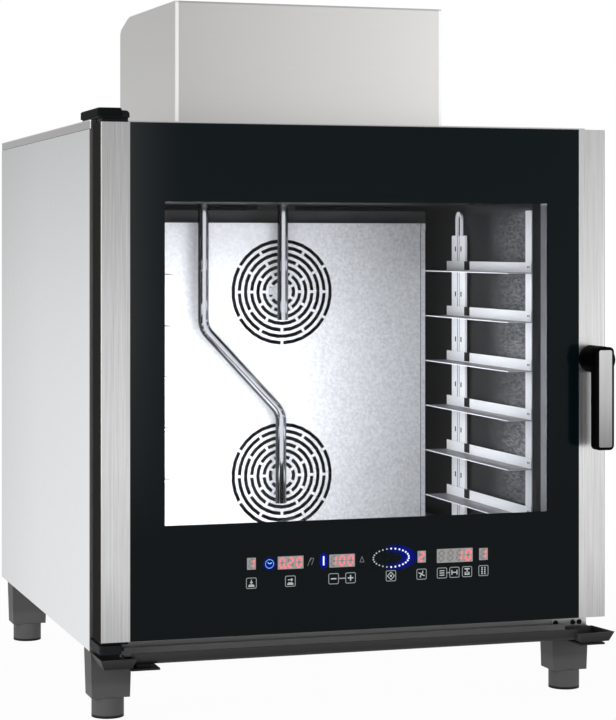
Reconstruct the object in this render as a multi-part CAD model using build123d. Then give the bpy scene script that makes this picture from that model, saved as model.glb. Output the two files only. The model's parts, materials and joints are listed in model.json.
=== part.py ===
from build123d import *
import math
import os

# Six-tray convection oven for bakeries, gas heated, with a touch panel in its glass door.
# Millimetres. X runs to the right as seen from the front, Y to the back and Z up from the floor.
# It is drawn with X 0 at the middle of the cabinet and Y 0 at the front of the door, and every
# piece is moved at the end so that the origin lies under the middle of the whole oven.

# Cabinet shell
BODY_WIDTH = 860.0
BODY_DEPTH = 882.0
BODY_HEIGHT = 843.0
BODY_LIFT = 107.0
OUTER_SHEET = 1.5
BEND_RADIUS = 3.0
FRONT_RETURN = 12.0
REAR_RETURN = 22.0
COVER_RIM = 14.0
SEAM = 0.6
PAN_WALL = 20.0
FRONT_SHEET = 2.0
OVERRUN = 5.0
SOFT_GAP = 0.3
FIT_GAP = 0.05
NUT_SIDES = 6

# Door, from its front to its back
DOOR_HEIGHT = 810.0
DOOR_RISE = 26.0
DOOR_DEPTH = 50.0
INNER_FRAME_DEPTH = 18.0
SEAL_SPACE = 8.0
PROFILE_WIDTH = 48.0
PROFILE_SHEET = 1.5
PROFILE_RADIUS = 4.0
GLASS = 4.0
GLASS_INSET = 0.5
GLASS_EDGE_GAP = 0.5
WINDOW_MARGIN = 104.0
WINDOW_HEIGHT = 518.0
WINDOW_RISE = 169.0
RAIL_HEIGHT = 30.0
INNER_FRAME_MARGIN = 6.0
INNER_GLASS = 6.0
INNER_GLASS_LAP = 8.0
TUNNEL_DEPTH = 20.0
SPACER_WIDTH = 12.0
SPACER_SPLIT_RISE = 417.0
BOARD_WIDTH = 455.0
BOARD_HEIGHT = 90.0
BOARD_RISE = 52.0
BOARD_DEPTH = 14.0
BOARD_OFFSET = 12.0

# Hinges of the door, and the latch in its handle
HINGE_INSET = 18.0
HINGE_SETBACK = 25.0
HINGE_PIN = 12.0
HINGE_PIN_REACH = 28.0
HINGE_ARM_THICKNESS = 2.5
HINGE_CAP_WIDTH = 39.0
HINGE_CAP_PROUD = 3.0
HINGE_CAP_HEIGHT = 12.7
HINGE_CAP_WALL = 2.0
HINGE_CAP_BACK = 135.0
HINGE_CAP_FRONT = 4.0
HINGE_CAP_RADIUS = 6.0
BEARING_THICKNESS = 6.6
BEARING_RADIUS = 16.0
BEARING_REACH = 13.0
LOWER_BLOCK_HEIGHT = 13.6
LOWER_BEARING = 5.0
HUB_INSET = 26.0
HUB_RISE = 429.6
HUB_DIAMETER = 45.0
HANDLE_REACH = 55.0
GRIP_THICKNESS = 21.0
GRIP_WIDTH = 33.0
GRIP_LENGTH = 169.0
GRIP_ABOVE_HUB = 21.4
GRIP_RADIUS = 8.0
GRIP_EDGE = 2.5
INSERT_BORDER = 5.0
INSERT_THICKNESS = 1.5
INSERT_PROUD = 0.5
HANDLE_GAP = 0.4
SHAFT_DIAMETER = 14.0
HOOK_LENGTH = 16.0
HOOK_WIDTH = 8.0
HOOK_THICKNESS = 6.0
HOOK_SETBACK = 6.0
LATCH_CLEAR = 6.5
KEEPER_GAP = 1.5
KEEPER_DIAMETER = 6.0
KEEPER_BLOCK = 8.0

# Cavity
SIDE_SPACE = 85.0
REAR_SPACE = 262.0
CAVITY_HEIGHT = 605.0
CAVITY_RISE = 113.0
CAVITY_CORNER = 20.0
LINER_SHEET = 1.5
INSULATION = 40.0
HOLE_CLEAR = 3.0
SEAL_INSET = 8.0
SEAL_WIDTH = 12.0

# Fans and the panel in front of them
FAN_OFFSET = 19.0
LOWER_FAN_RISE = 110.0
FAN_SPACING = 336.0
DEFLECTOR_GAP = 130.0
DEFLECTOR_SIDE_GAP = 65.0
DEFLECTOR_RISE = 15.0
DEFLECTOR_HEIGHT = 557.0
DEFLECTOR_SHEET = 1.5
DEFLECTOR_FLANGE = 18.0
DEFLECTOR_HEM = 12.0
SPACER_POST = 14.0
SPACER_POST_INSET = 12.0
GRILLE_RADIUS = 96.5
GRILLE_RINGS = 7
GRILLE_PITCH = 11.8
GRILLE_SLOT = 6.6
GRILLE_WEB = 5.0
GRILLE_ARCS = 6
CHORD_RISE = 0.5
WHEEL_RADIUS = 103.0
WHEEL_SETBACK = 17.0
WHEEL_DEPTH = 83.0
WHEEL_SHEET = 1.5
HUB_RADIUS = 22.0
HUB_LENGTH = 30.0
FAN_SHAFT = 14.0
BLADES = 12
BLADE_ROOT = 62.0
BLADE_TIP = 100.0
MOTOR_SIDE = 112.0
MOTOR_CORNER = 26.0
MOTOR_LENGTH = 96.0
MOTOR_PLATE = 4.0
MOTOR_PLATE_SIDE = 128.0
MOTOR_BORE = 34.0

# Gas heating
TUBE_WIDTH_SHARE = 0.64
TUBE_SHEET = 1.5
TUBE_WHEEL_GAP = 59.0
TUBE_WALL_GAP = 42.0
TUBES = 3
STUB_SIDE = 32.0
TUBE_GAP = 60.0
HEADER_DEPTH = 80.0
HEADER_HEIGHT = 25.0
HEADER_DROP = 10.0
HEADER_MARGIN = 8.0
LOWER_HEADER_RISE = 2.0
LOWER_HEADER_HEIGHT = 36.0
MANIFOLD_DEPTH = 50.0
MANIFOLD_HEIGHT = 38.0
BLOWER_DIAMETER = 150.0
BLOWER_DEPTH = 60.0
BLOWER_RISE = 25.0
BLOWER_MOTOR_SIDE = 70.0
BLOWER_MOTOR_LENGTH = 50.0
BLOWER_THROAT = 60.0
VALVE_SIDE = 60.0
VALVE_OFFSET = 60.0
GAS_PIPE_DIAMETER = 21.0
GAS_THREAD_DIAMETER = 26.4
GAS_THREAD_LENGTH = 22.0
GAS_NUT = 36.0
GAS_NUT_LENGTH = 8.0
DUCT_SIDE = 72.0
DUCT_SHEET = 1.0
DUCT_RISE = 30.0

# Flue box on top
FLUE_WIDTH = 482.0
FLUE_REAR_GAP = 204.0
FLUE_DEPTH = 417.0
FLUE_HEIGHT = 216.0
FLUE_CROWN = 7.0
FLUE_BEND = 70.0
FLUE_FALL = 20.0
FLUE_BEND_RADIUS = 120.0
FLUE_REAR_RADIUS = 14.0
FLUE_CORNER = 4.0
FLUE_SHEET = 1.5
FLUE_OUTLET = 150.0
FLUE_OUTLET_SETBACK = 200.0
FLUE_COLLAR = 22.0

# Steam pipes, water and drain
PIPE_DIAMETER = 19.6
PIPE_GAP = 35.0
PIPE_ENTRY_OFFSET = 140.0
PIPE_END_OFFSET = 6.0
PIPE_STRAIGHT = 222.0
PIPE_SLANT_DROP = 155.0
PIPE_TAIL = 164.0
PIPE_BEND = 40.0
SHORT_PIPE_DROP = 209.0
VALVE_BLOCK_DEPTH = 40.0
VALVE_BLOCK_HEIGHT = 30.0
VALVE_BLOCK_MARGIN = 20.0
SUPPLY_DIAMETER = 14.0
WATER_THREAD_DIAMETER = 26.4
WATER_THREAD_LENGTH = 16.0
DRAIN_COVER_SIDE = 100.0
DRAIN_COVER_THICKNESS = 2.0
DRAIN_SLOTS = 6
DRAIN_SLOT_LENGTH = 70.0
DRAIN_SLOT_WIDTH = 5.0
DRAIN_SLOT_PITCH = 13.0
DRAIN_HOLE = 50.0
SUMP_SIDE = 60.0
DRAIN_PIPE_WALL = 2.0
DRAIN_PIPE_DIAMETER = 38.0
DRAIN_SPIGOT_DIAMETER = 40.0
DRAIN_SPIGOT_LENGTH = 26.0
DRAIN_PIPE_RISE = 44.0
DRAIN_REACH = 30.0

# Tray racks
RACK_LEVELS = 6
RACK_PITCH = 83.0
RACK_FIRST_RISE = 68.0
RACK_SHEET = 1.5
RAIL_FACE = 19.0
SHELF_WIDTH = 44.0
RACK_WALL_GAP = 5.0
RACK_FRONT = 10.0
RAIL_GAP = 19.5
FRONT_POST_WIDTH = 26.0
FRONT_POST_TOP = 590.0
REAR_POST_GAP = 105.0
REAR_POST_WIDTH = 64.0
REAR_POST_TOP = 549.0
REAR_POST_GROOVE = 10.0
POST_THICKNESS = 4.0
POST_RISE = 20.0
HOOK_RADIUS = 14.0
HOOK_RISE = 30.0
HOOK_STRAP = 6.0
STUD_SIDE = 12.0
STUD_RISE = 60.0

# Drip tray and the plate at the lower right corner
TRAY_RIM = 107.0
TRAY_DEPTH = 16.0
TRAY_WALL = 2.5
TRAY_BACK = 64.0
TRAY_POCKET_FRONT = 7.0
TRAY_LEFT_POCKET = 58.0
TRAY_RIGHT_LENGTH = 50.0
TRAY_RIGHT_PROUD = 17.0
TRAY_RIGHT_BACK_PROUD = 6.0
TRAY_CORNER_CUT = 7.0
TRAY_POCKET_TAPER = 22.0
GUTTER_FRONT = 10.0
GUTTER_TOP_RISE = 5.0
GUTTER_BOTTOM_RISE = 2.0
GUTTER_NOSE = 12.0
GUTTER_FLANGE_INSET = 75.0
GUTTER_FLANGE = 2.5
CLIP_NECK_SETBACK = 20.0
CLIP_NECK_DEPTH = 20.0
CLIP_NECK_WIDTH = 23.0
CLIP_THICKNESS = 3.0
CLIP_DROP = 2.5
CLIP_DEPTH = 45.0
CLIP_WIDTH = 46.0
CLIP_INSET = 6.0
PLATE_WIDTH = 63.0
PLATE_HEIGHT = 11.0
PLATE_THICKNESS = 2.5

# Feet
SOCKET_WIDTH = 66.0
SOCKET_DEPTH = 52.0
SOCKET_DRAFT = 2.0
SOCKET_CLEARANCE = 33.0
SOCKET_FRONT = 66.0
SOCKET_REAR_INSET = 66.0
FOOT_DIAMETER = 52.0
FOOT_STEM = 30.0
FOOT_STEM_LENGTH = 50.0

# Electrical pieces in the rear compartment, and what shows at the back
ELECTRIC_BOARD_DEPTH = 160.0
ELECTRIC_BOARD_HEIGHT = 280.0
ELECTRIC_BOARD_RISE = 373.0
ELECTRIC_BOARD_SHEET = 2.0
ELECTRIC_BOARD_STANDOFF = 28.0
ELECTRIC_BOARD_SETBACK = 20.0
STANDOFF_SIDE = 8.0
STANDOFF_INSET = 12.0
BOARD_BLOCKS = 4
PART_HEIGHT = 30.0
LOUVRE_INSET = 130.0
LOUVRE_RISE = 143.0
LOUVRE_WIDTH = 110.0
LOUVRE_SLOT = 6.0
LOUVRE_PITCH = 14.0
LOUVRES = 6
TERMINAL_WIDTH = 70.0
TERMINAL_HEIGHT = 26.0
TERMINAL_DEPTH = 30.0
TERMINAL_INSET = 250.0
TERMINAL_RISE = 40.0
GLAND_DIAMETER = 32.0
GLAND_NUT = 40.0
GLAND_NUT_LENGTH = 8.0
GLAND_REACH = 26.0
GLAND_BORE = 18.0
GLAND_INSET = 140.0
GLAND_RISE = 44.0

# Places that follow from the sizes above
half_width = BODY_WIDTH / 2
body_top = BODY_LIFT + BODY_HEIGHT
door_back = DOOR_DEPTH + INNER_FRAME_DEPTH
front_face = door_back + SEAL_SPACE
panel_front = front_face + FRONT_SHEET
panel_back = BODY_DEPTH - OUTER_SHEET
panel_top = body_top - COVER_RIM - SEAM
pan_top = BODY_LIFT + FRONT_SHEET

door_bottom = BODY_LIFT + DOOR_RISE
door_top = door_bottom + DOOR_HEIGHT
profile_inner = half_width - PROFILE_WIDTH
window_half = half_width - WINDOW_MARGIN
window_bottom = door_bottom + WINDOW_RISE
window_top = window_bottom + WINDOW_HEIGHT
glass_back = GLASS_INSET + GLASS
hub_x = half_width - HUB_INSET
hub_z = door_bottom + HUB_RISE
hinge_x = -half_width + HINGE_INSET
gland_x = half_width - GLAND_INSET
tray_right_x = half_width - TRAY_RIGHT_LENGTH

cavity_half = half_width - SIDE_SPACE
cavity_floor = BODY_LIFT + CAVITY_RISE
cavity_top = cavity_floor + CAVITY_HEIGHT
cavity_back = BODY_DEPTH - REAR_SPACE
liner_back = cavity_back + LINER_SHEET
insulation_back = liner_back + SOFT_GAP + INSULATION
insulation_top = cavity_top + LINER_SHEET + SOFT_GAP + INSULATION
insulation_bottom = cavity_floor - LINER_SHEET - SOFT_GAP - INSULATION
rear_mount = insulation_back + SOFT_GAP

lower_fan_z = cavity_floor + LOWER_FAN_RISE
fan_heights = (lower_fan_z, lower_fan_z + FAN_SPACING)
deflector_front = cavity_back - DEFLECTOR_GAP
deflector_half = cavity_half - DEFLECTOR_SIDE_GAP
deflector_back = deflector_front + DEFLECTOR_SHEET
wheel_front = deflector_back + WHEEL_SETBACK
wheel_back = wheel_front + WHEEL_DEPTH
tube_y = cavity_back - TUBE_GAP
tube_bottom = cavity_floor + LOWER_HEADER_RISE
header_bottom = cavity_top - HEADER_DROP - HEADER_HEIGHT
bank_inner = WHEEL_RADIUS + TUBE_WHEEL_GAP
bank_outer = cavity_half - FAN_OFFSET - TUBE_WALL_GAP
bank_middle = (bank_inner + bank_outer) / 2
tube_width = (bank_outer - bank_inner) * TUBE_WIDTH_SHARE / TUBES
tube_pitch = (bank_outer - bank_inner - tube_width) / (TUBES - 1)
stub_z = tube_bottom + LOWER_HEADER_HEIGHT / 2
flue_front = BODY_DEPTH - FLUE_REAR_GAP - FLUE_DEPTH
manifold_bottom = stub_z - MANIFOLD_HEIGHT / 2
pipe_y = deflector_front - PIPE_GAP
drain_y = (panel_front + deflector_front) / 2
drain_z = BODY_LIFT + DRAIN_PIPE_RISE
rack_face = cavity_half - RACK_WALL_GAP
rear_post_y = deflector_front - REAR_POST_GAP


def rect(u0, u1, v0, v1):
    """Flat rectangle between two corners."""
    return Pos((u0 + u1) / 2, (v0 + v1) / 2) * Rectangle(u1 - u0, v1 - v0)


def rounded(u0, u1, v0, v1, radius):
    """Flat rectangle with round corners."""
    return Pos((u0 + u1) / 2, (v0 + v1) / 2) * RectangleRounded(u1 - u0, v1 - v0, radius)


def disc(u, v, diameter):
    """Flat disc."""
    return Pos(u, v) * Circle(diameter / 2)


def along_x(sketch, x0, x1):
    """Solid from a (y, z) outline between two X places."""
    return Pos(x0, 0, 0) * extrude(Plane.YZ * sketch, amount=x1 - x0)


def along_y(sketch, y0, y1):
    """Solid from an (x, z) outline between two Y places."""
    return Pos(0, y1, 0) * extrude(Plane.XZ * sketch, amount=y1 - y0)


def along_z(sketch, z0, z1):
    """Solid from an (x, y) outline between two heights."""
    return Pos(0, 0, z0) * extrude(sketch, amount=z1 - z0)


def block(x0, x1, y0, y1, z0, z1):
    """Box between two corners."""
    return along_z(rect(x0, x1, y0, y1), z0, z1)


def rod_y(x, z, diameter, y0, y1):
    """Round bar along Y."""
    return along_y(disc(x, z, diameter), y0, y1)


def rod_z(x, y, diameter, z0, z1):
    """Upright round bar."""
    return along_z(disc(x, y, diameter), z0, z1)


def mirrored(shape):
    """The same piece on the other side of the cabinet."""
    return mirror(shape, about=Plane.YZ)


def near_corner(corners, u, v):
    """The corner of a flat outline that lies closest to a point."""
    return corners.sort_by_distance((u, v, 0))[0]


def arc_points(radius, start, sweep_angle):
    """Points along an arc whose chords leave it by no more than the named rise."""
    chord_angle = 2 * math.degrees(math.acos(1 - CHORD_RISE / radius))
    steps = math.ceil(sweep_angle / chord_angle)
    angles = [math.radians(start + sweep_angle * k / steps) for k in range(steps + 1)]
    return [(radius * math.cos(a), radius * math.sin(a)) for a in angles]


def arc_slot(outer, inner, start, sweep_angle):
    """Flat curved band between two radii, with short straight cuts as a punch leaves them."""
    points = arc_points(outer, start, sweep_angle) + arc_points(inner, start, sweep_angle)[::-1]
    return make_face(Polyline(*points, close=True))


# Cabinet shell

def side_panel():
    """Right side: a sheet with a narrow front return and a wider rear one."""
    outer = rect(half_width - REAR_RETURN, half_width, panel_front, panel_back)
    corner = outer.vertices().sort_by(Axis.X)[-2:]
    outer = fillet(corner.sort_by(Axis.Y)[0], BEND_RADIUS)
    back = panel_back - OUTER_SHEET
    front = panel_front + OUTER_SHEET
    inner = rect(half_width - REAR_RETURN - OVERRUN, half_width - OUTER_SHEET, front, back)
    trim = rect(half_width - REAR_RETURN - OVERRUN, half_width - FRONT_RETURN,
                panel_front - OVERRUN, back)
    return along_z(outer - inner - trim, BODY_LIFT, panel_top)


def base_pan():
    """Open tray under the cavity, between the returns of the side panels."""
    half = half_width - OUTER_SHEET
    y0 = panel_front + OUTER_SHEET
    y1 = panel_back - OUTER_SHEET
    pan = block(-half, half, y0, y1, BODY_LIFT, pan_top + PAN_WALL)
    pan -= block(-half + FRONT_SHEET, half - FRONT_SHEET, y0 + FRONT_SHEET, y1 - FRONT_SHEET,
                 pan_top, pan_top + PAN_WALL + OVERRUN)
    return pan


def top_cover():
    """Lid with a rim folded down on all four sides and a hole for the flue duct."""
    z0 = body_top - COVER_RIM
    lid = block(-half_width, half_width, front_face, BODY_DEPTH, z0, body_top)
    lid = fillet(lid.edges().filter_by(Axis.Z), BEND_RADIUS)
    lid -= block(-half_width + OUTER_SHEET, half_width - OUTER_SHEET, front_face + OUTER_SHEET,
                 BODY_DEPTH - OUTER_SHEET, z0 - OVERRUN, body_top - OUTER_SHEET)
    return lid - along_z(duct_outline(HOLE_CLEAR), z0, body_top + OVERRUN)


def duct_outline(grow):
    """Square flue duct from above, grown outward by a distance."""
    half = DUCT_SIDE / 2 + grow
    return rect(FAN_OFFSET - half, FAN_OFFSET + half, tube_y - half, tube_y + half)


def louvre_slots(x, z):
    """A stack of vent slots in the back panel."""
    slots = []
    for i in range(LOUVRES):
        level = z + (i - (LOUVRES - 1) / 2) * LOUVRE_PITCH
        outline = Pos(x, level) * Rectangle(LOUVRE_WIDTH, LOUVRE_SLOT)
        slots.append(along_y(outline, panel_back - OVERRUN, BODY_DEPTH + OVERRUN))
    return slots


def back_panel():
    """Rear sheet with vents, and holes for gas, water, drain and the mains lead."""
    panel = block(-half_width, half_width, panel_back, BODY_DEPTH, BODY_LIFT, panel_top)
    gas_x, gas_z = gas_place()
    holes = [
        (gas_x, gas_z, GAS_PIPE_DIAMETER + 2 * SOFT_GAP),
        (water_place()[0], water_place()[1], SUPPLY_DIAMETER + 2 * SOFT_GAP),
        (0, drain_z, DRAIN_PIPE_DIAMETER + 2 * SOFT_GAP),
        (gland_x, BODY_LIFT + GLAND_RISE, GLAND_DIAMETER + 2 * SOFT_GAP),
    ]
    for x, z, size in holes:
        panel -= rod_y(x, z, size, panel_back - OVERRUN, BODY_DEPTH + OVERRUN)
    return panel - louvre_slots(half_width - LOUVRE_INSET, BODY_LIFT + LOUVRE_RISE)


def cavity_outline(grow):
    """Front view of the cavity, grown outward by a distance."""
    return rounded(-cavity_half - grow, cavity_half + grow, cavity_floor - grow,
                   cavity_top + grow, CAVITY_CORNER + grow)


def front_frame():
    """Front sheet round the cavity, with the slot that the latch hook enters."""
    plate = rect(-half_width, half_width, BODY_LIFT, panel_top) - cavity_outline(0)
    reach = SHAFT_DIAMETER / 2 + LATCH_CLEAR
    top = hub_z + HOOK_LENGTH + KEEPER_GAP + KEEPER_DIAMETER + LATCH_CLEAR
    slot = rect(hub_x - HOOK_LENGTH - 2 * KEEPER_GAP, hub_x + reach, hub_z - reach, top)
    return along_y(plate - slot, front_face, panel_front)


# Cavity and what is in it

def square(u, v, side):
    """Flat square round a point."""
    return Pos(u, v) * Rectangle(side, side)


def rear_holes(form, clear):
    """Holes for the fan shafts, in a given form, and square ones for the burner stubs."""
    found = [form(FAN_OFFSET, z, FAN_SHAFT + 2 * clear) for z in fan_heights]
    for side in (-1, 1):
        found.append(square(FAN_OFFSET + side * bank_middle, stub_z, STUB_SIDE + 2 * clear))
    return found


def ceiling_holes(form, clear):
    """Holes for the steam pipes, in a given form, and a square one for the duct."""
    entries = (-PIPE_ENTRY_OFFSET, FAN_OFFSET / 2)
    return [duct_outline(clear)] + [form(x, pipe_y, PIPE_DIAMETER + 2 * clear) for x in entries]


def cavity_liner():
    """Folded box with coved corners, open at the front."""
    liner = along_y(cavity_outline(LINER_SHEET), panel_front, liner_back)
    liner -= along_y(cavity_outline(0), panel_front - OVERRUN, cavity_back)
    for hole in rear_holes(disc, SOFT_GAP):
        liner -= along_y(hole, cavity_back - OVERRUN, liner_back + OVERRUN)
    for hole in ceiling_holes(disc, SOFT_GAP):
        liner -= along_z(hole, cavity_top - OVERRUN, cavity_top + LINER_SHEET + OVERRUN)
    floor = square(0, drain_y, DRAIN_HOLE)
    liner -= along_z(floor, cavity_floor - LINER_SHEET - OVERRUN, cavity_floor + OVERRUN)
    return liner + rack_studs()


def cavity_insulation():
    """Mineral wool round five sides of the liner."""
    gap = LINER_SHEET + SOFT_GAP
    y0 = panel_front + SOFT_GAP
    wool = along_y(rect(-cavity_half - gap - INSULATION, cavity_half + gap + INSULATION,
                        insulation_bottom, insulation_top), y0, insulation_back)
    wool -= along_y(cavity_outline(gap), y0 - OVERRUN, liner_back + SOFT_GAP)
    for hole in rear_holes(square, HOLE_CLEAR):
        wool -= along_y(hole, cavity_back - OVERRUN, insulation_back + OVERRUN)
    for hole in ceiling_holes(square, HOLE_CLEAR):
        wool -= along_z(hole, cavity_top - OVERRUN, insulation_top + OVERRUN)
    floor = square(0, drain_y, SUMP_SIDE + 2 * HOLE_CLEAR)
    wool -= along_z(floor, insulation_bottom - OVERRUN, cavity_floor + OVERRUN)
    return wool


def door_gasket():
    """Soft ring on the front frame that the closed door rests against."""
    ring = cavity_outline(SEAL_INSET + SEAL_WIDTH) - cavity_outline(SEAL_INSET)
    return along_y(ring, door_back + SOFT_GAP, front_face)


def arc_ring_slots(x, z):
    """Slots of one round grille: rings of arcs, with the webs of each ring turned half a step."""
    slots = []
    step = 360 / GRILLE_ARCS
    for ring in range(GRILLE_RINGS):
        outer = GRILLE_RADIUS - ring * GRILLE_PITCH
        inner = outer - GRILLE_SLOT
        web = math.degrees(math.asin(GRILLE_WEB / (outer + inner)))
        first = web + (step / 2 if ring % 2 == 0 else 0)
        for k in range(GRILLE_ARCS):
            band = arc_slot(outer, inner, first + k * step, step - 2 * web)
            slots.append(Pos(x, z) * band)
    return slots


def fan_deflector():
    """Panel in front of the fans: two slotted grilles, side flanges, a hem and spacer posts."""
    x0 = FAN_OFFSET - deflector_half
    x1 = FAN_OFFSET + deflector_half
    z0 = cavity_floor + DEFLECTOR_RISE
    z1 = z0 + DEFLECTOR_HEIGHT
    face = rect(x0, x1, z0, z1)
    slots = arc_ring_slots(FAN_OFFSET, fan_heights[0]) + arc_ring_slots(FAN_OFFSET, fan_heights[1])
    face -= slots
    panel = along_y(face, deflector_front, deflector_back)
    flange_back = deflector_back + DEFLECTOR_FLANGE
    panel += block(x0, x0 + DEFLECTOR_SHEET, deflector_front, flange_back, z0, z1)
    panel += block(x1 - DEFLECTOR_SHEET, x1, deflector_front, flange_back, z0, z1)
    hem_z = z1 - DEFLECTOR_HEM
    panel += block(x0, x1, deflector_front - DEFLECTOR_SHEET, deflector_front, hem_z, z1)
    post = SPACER_POST / 2 + SPACER_POST_INSET
    aside = (WHEEL_RADIUS + bank_inner) / 2
    for x in (FAN_OFFSET - aside, FAN_OFFSET + aside):
        for z in (z0 + post, hem_z - post):
            panel += along_y(square(x, z, SPACER_POST), deflector_back, cavity_back)
    return panel


def bar_between(start, end, diameter):
    """Round bar from one point to another."""
    line = Vector(*end) - Vector(*start)
    return extrude(Plane(origin=start, z_dir=line) * Circle(diameter / 2), amount=line.length)


def elbow(before, corner, after, radius, diameter):
    """Round bar bent at a corner, with the two points where its straight runs meet it."""
    to_before = (Vector(*before) - Vector(*corner)).normalized()
    to_after = (Vector(*after) - Vector(*corner)).normalized()
    half = math.radians(to_before.get_angle(to_after)) / 2
    reach = radius / math.tan(half)
    start = Vector(*corner) + to_before * reach
    end = Vector(*corner) + to_after * reach
    centre = Vector(*corner) + (to_before + to_after).normalized() * (radius / math.sin(half))
    axis = Axis(centre, to_after.cross(to_before))
    section = Plane(origin=start, z_dir=to_before * -1) * Circle(diameter / 2)
    turn = 180 - 2 * math.degrees(half)
    return revolve(section, axis=axis, revolution_arc=turn), tuple(start), tuple(end)


def bent_bar(points, radius, diameter):
    """Round bar through a list of points, with the same bend at each corner."""
    bar = []
    start = points[0]
    for before, corner, after in zip(points, points[1:], points[2:]):
        bend, meet, leave = elbow(before, corner, after, radius, diameter)
        bar += [bar_between(start, meet, diameter), bend]
        start = leave
    bar.append(bar_between(start, points[-1], diameter))
    return bar[0].fuse(*bar[1:])


def long_steam_pipe():
    """Pipe that runs down the left, slants across and ends at the lower grille."""
    left = -PIPE_ENTRY_OFFSET
    bend_z = cavity_top - PIPE_STRAIGHT
    low_z = bend_z - PIPE_SLANT_DROP
    points = [(left, pipe_y, insulation_top + SOFT_GAP), (left, pipe_y, bend_z),
              (PIPE_END_OFFSET, pipe_y, low_z), (PIPE_END_OFFSET, pipe_y, low_z - PIPE_TAIL)]
    return bent_bar(points, PIPE_BEND, PIPE_DIAMETER)


def short_steam_pipe():
    """Pipe that drops straight to the upper grille."""
    return rod_z(FAN_OFFSET / 2, pipe_y, PIPE_DIAMETER, cavity_top - SHORT_PIPE_DROP,
                 insulation_top + SOFT_GAP)


def rack_studs():
    """Eight studs welded to the cavity walls, which carry the racks."""
    studs = []
    y_front = panel_front + RACK_FRONT + FRONT_POST_WIDTH / 2
    y_rear = rear_post_y + REAR_POST_WIDTH / 4
    for y in (y_front, y_rear):
        for z in (cavity_floor + STUD_RISE, cavity_floor + REAR_POST_TOP - STUD_RISE):
            stud = along_x(square(y, z, STUD_SIDE), rack_face, cavity_half)
            studs += [stud, mirrored(stud)]
    return studs


def rack_rails():
    """Right rails: six angles whose shelves carry the edge of a tray."""
    post_face = rack_face - POST_THICKNESS
    y0 = panel_front + RACK_FRONT - RACK_SHEET
    y1 = deflector_front - RAIL_GAP
    rails = []
    for level in range(RACK_LEVELS):
        z = cavity_floor + RACK_FIRST_RISE + level * RACK_PITCH
        angle = rect(post_face - SHELF_WIDTH, post_face, z, z + RAIL_FACE)
        angle -= rect(post_face - SHELF_WIDTH, post_face - RACK_SHEET, z + RACK_SHEET, z + RAIL_FACE)
        rails.append(along_y(angle, y0, y1))
    return rails


def rack_posts():
    """Right posts: a plain one at the front, and a grooved one with a hook at the back."""
    post_face = rack_face - POST_THICKNESS
    y0 = panel_front + RACK_FRONT
    z0 = cavity_floor + POST_RISE
    front = block(post_face, rack_face, y0, y0 + FRONT_POST_WIDTH, z0, cavity_floor + FRONT_POST_TOP)
    y1 = rear_post_y
    z1 = cavity_floor + REAR_POST_TOP
    rear = block(post_face, rack_face, y1, y1 + REAR_POST_WIDTH, z0, z1)
    groove = y1 + (REAR_POST_WIDTH - REAR_POST_GROOVE) / 2
    rear -= block(post_face - OVERRUN, rack_face - RACK_SHEET, groove, groove + REAR_POST_GROOVE,
                  z0 - OVERRUN, z1 + OVERRUN)
    middle = y1 + REAR_POST_WIDTH / 2
    top = z1 + HOOK_RISE
    inner = HOOK_RADIUS - HOOK_STRAP
    hook = rect(middle - HOOK_RADIUS, middle + HOOK_RADIUS, z1, top) + disc(middle, top, 2 * HOOK_RADIUS)
    hook -= rect(middle - inner, middle + inner, z1, top) + disc(middle, top, 2 * inner)
    return [front, rear + along_x(hook, post_face, rack_face)]


# Fans and heating

def fan_wheel(z):
    """Radial wheel that runs both ways: a hub and straight blades on a many-sided back plate."""
    back = wheel_back - WHEEL_SHEET
    half_sheet = WHEEL_SHEET / 2
    wheel = along_y(RegularPolygon(WHEEL_RADIUS, BLADES), back, wheel_back)
    wheel += rod_y(0, 0, 2 * HUB_RADIUS, back - HUB_LENGTH, back)
    blade = along_y(rect(BLADE_ROOT, BLADE_TIP, -half_sheet, half_sheet), wheel_front, back)
    wheel += [Rot(0, k * 360 / BLADES, 0) * blade for k in range(BLADES)]
    wheel -= rod_y(0, 0, FAN_SHAFT + 2 * FIT_GAP, wheel_front - OVERRUN, wheel_back + OVERRUN)
    return Pos(FAN_OFFSET, 0, z) * wheel


def fan_shaft(z):
    """Shaft from the hub of the wheel into the motor."""
    start = wheel_back - HUB_LENGTH
    return rod_y(FAN_OFFSET, z, FAN_SHAFT, start, rear_mount + MOTOR_BORE - HOLE_CLEAR)


def fan_motor(z):
    """Motor with an eight-sided housing on its mounting plate, behind the insulation."""
    y1 = rear_mount + MOTOR_PLATE
    housing = square(FAN_OFFSET, z, MOTOR_SIDE)
    housing = chamfer(housing.vertices(), MOTOR_CORNER)
    motor = along_y(square(FAN_OFFSET, z, MOTOR_PLATE_SIDE), rear_mount, y1)
    motor += along_y(housing, y1, y1 + MOTOR_LENGTH)
    bore = rear_mount + MOTOR_BORE
    return motor - rod_y(FAN_OFFSET, z, FAN_SHAFT + 2 * FIT_GAP, rear_mount - OVERRUN, bore)


def flat_tubes(inset):
    """Outer shape of both banks of flat tubes and their headers, drawn in by an inset."""
    outer = bank_outer + HEADER_MARGIN - inset
    inner = bank_inner - HEADER_MARGIN + inset
    deep = HEADER_DEPTH / 2 - inset
    half = tube_width / 2 - inset
    low = LOWER_HEADER_HEIGHT / 2 - inset
    stub = STUB_SIDE - 2 * inset
    body = block(-outer, outer, tube_y - deep, tube_y + deep, header_bottom + inset,
                 header_bottom + HEADER_HEIGHT - inset)
    for side in (-1, 1):
        for k in range(TUBES):
            x = side * (bank_inner + tube_width / 2 + k * tube_pitch)
            body += block(x - half, x + half, tube_y - deep, tube_y + deep, stub_z,
                          header_bottom + HEADER_HEIGHT / 2)
        ends = sorted((side * inner, side * outer))
        body += block(ends[0], ends[1], tube_y - deep, tube_y + deep, stub_z - low, stub_z + low)
        body += along_y(square(side * bank_middle, stub_z, stub), tube_y, rear_mount + OVERRUN)
    return body


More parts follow.
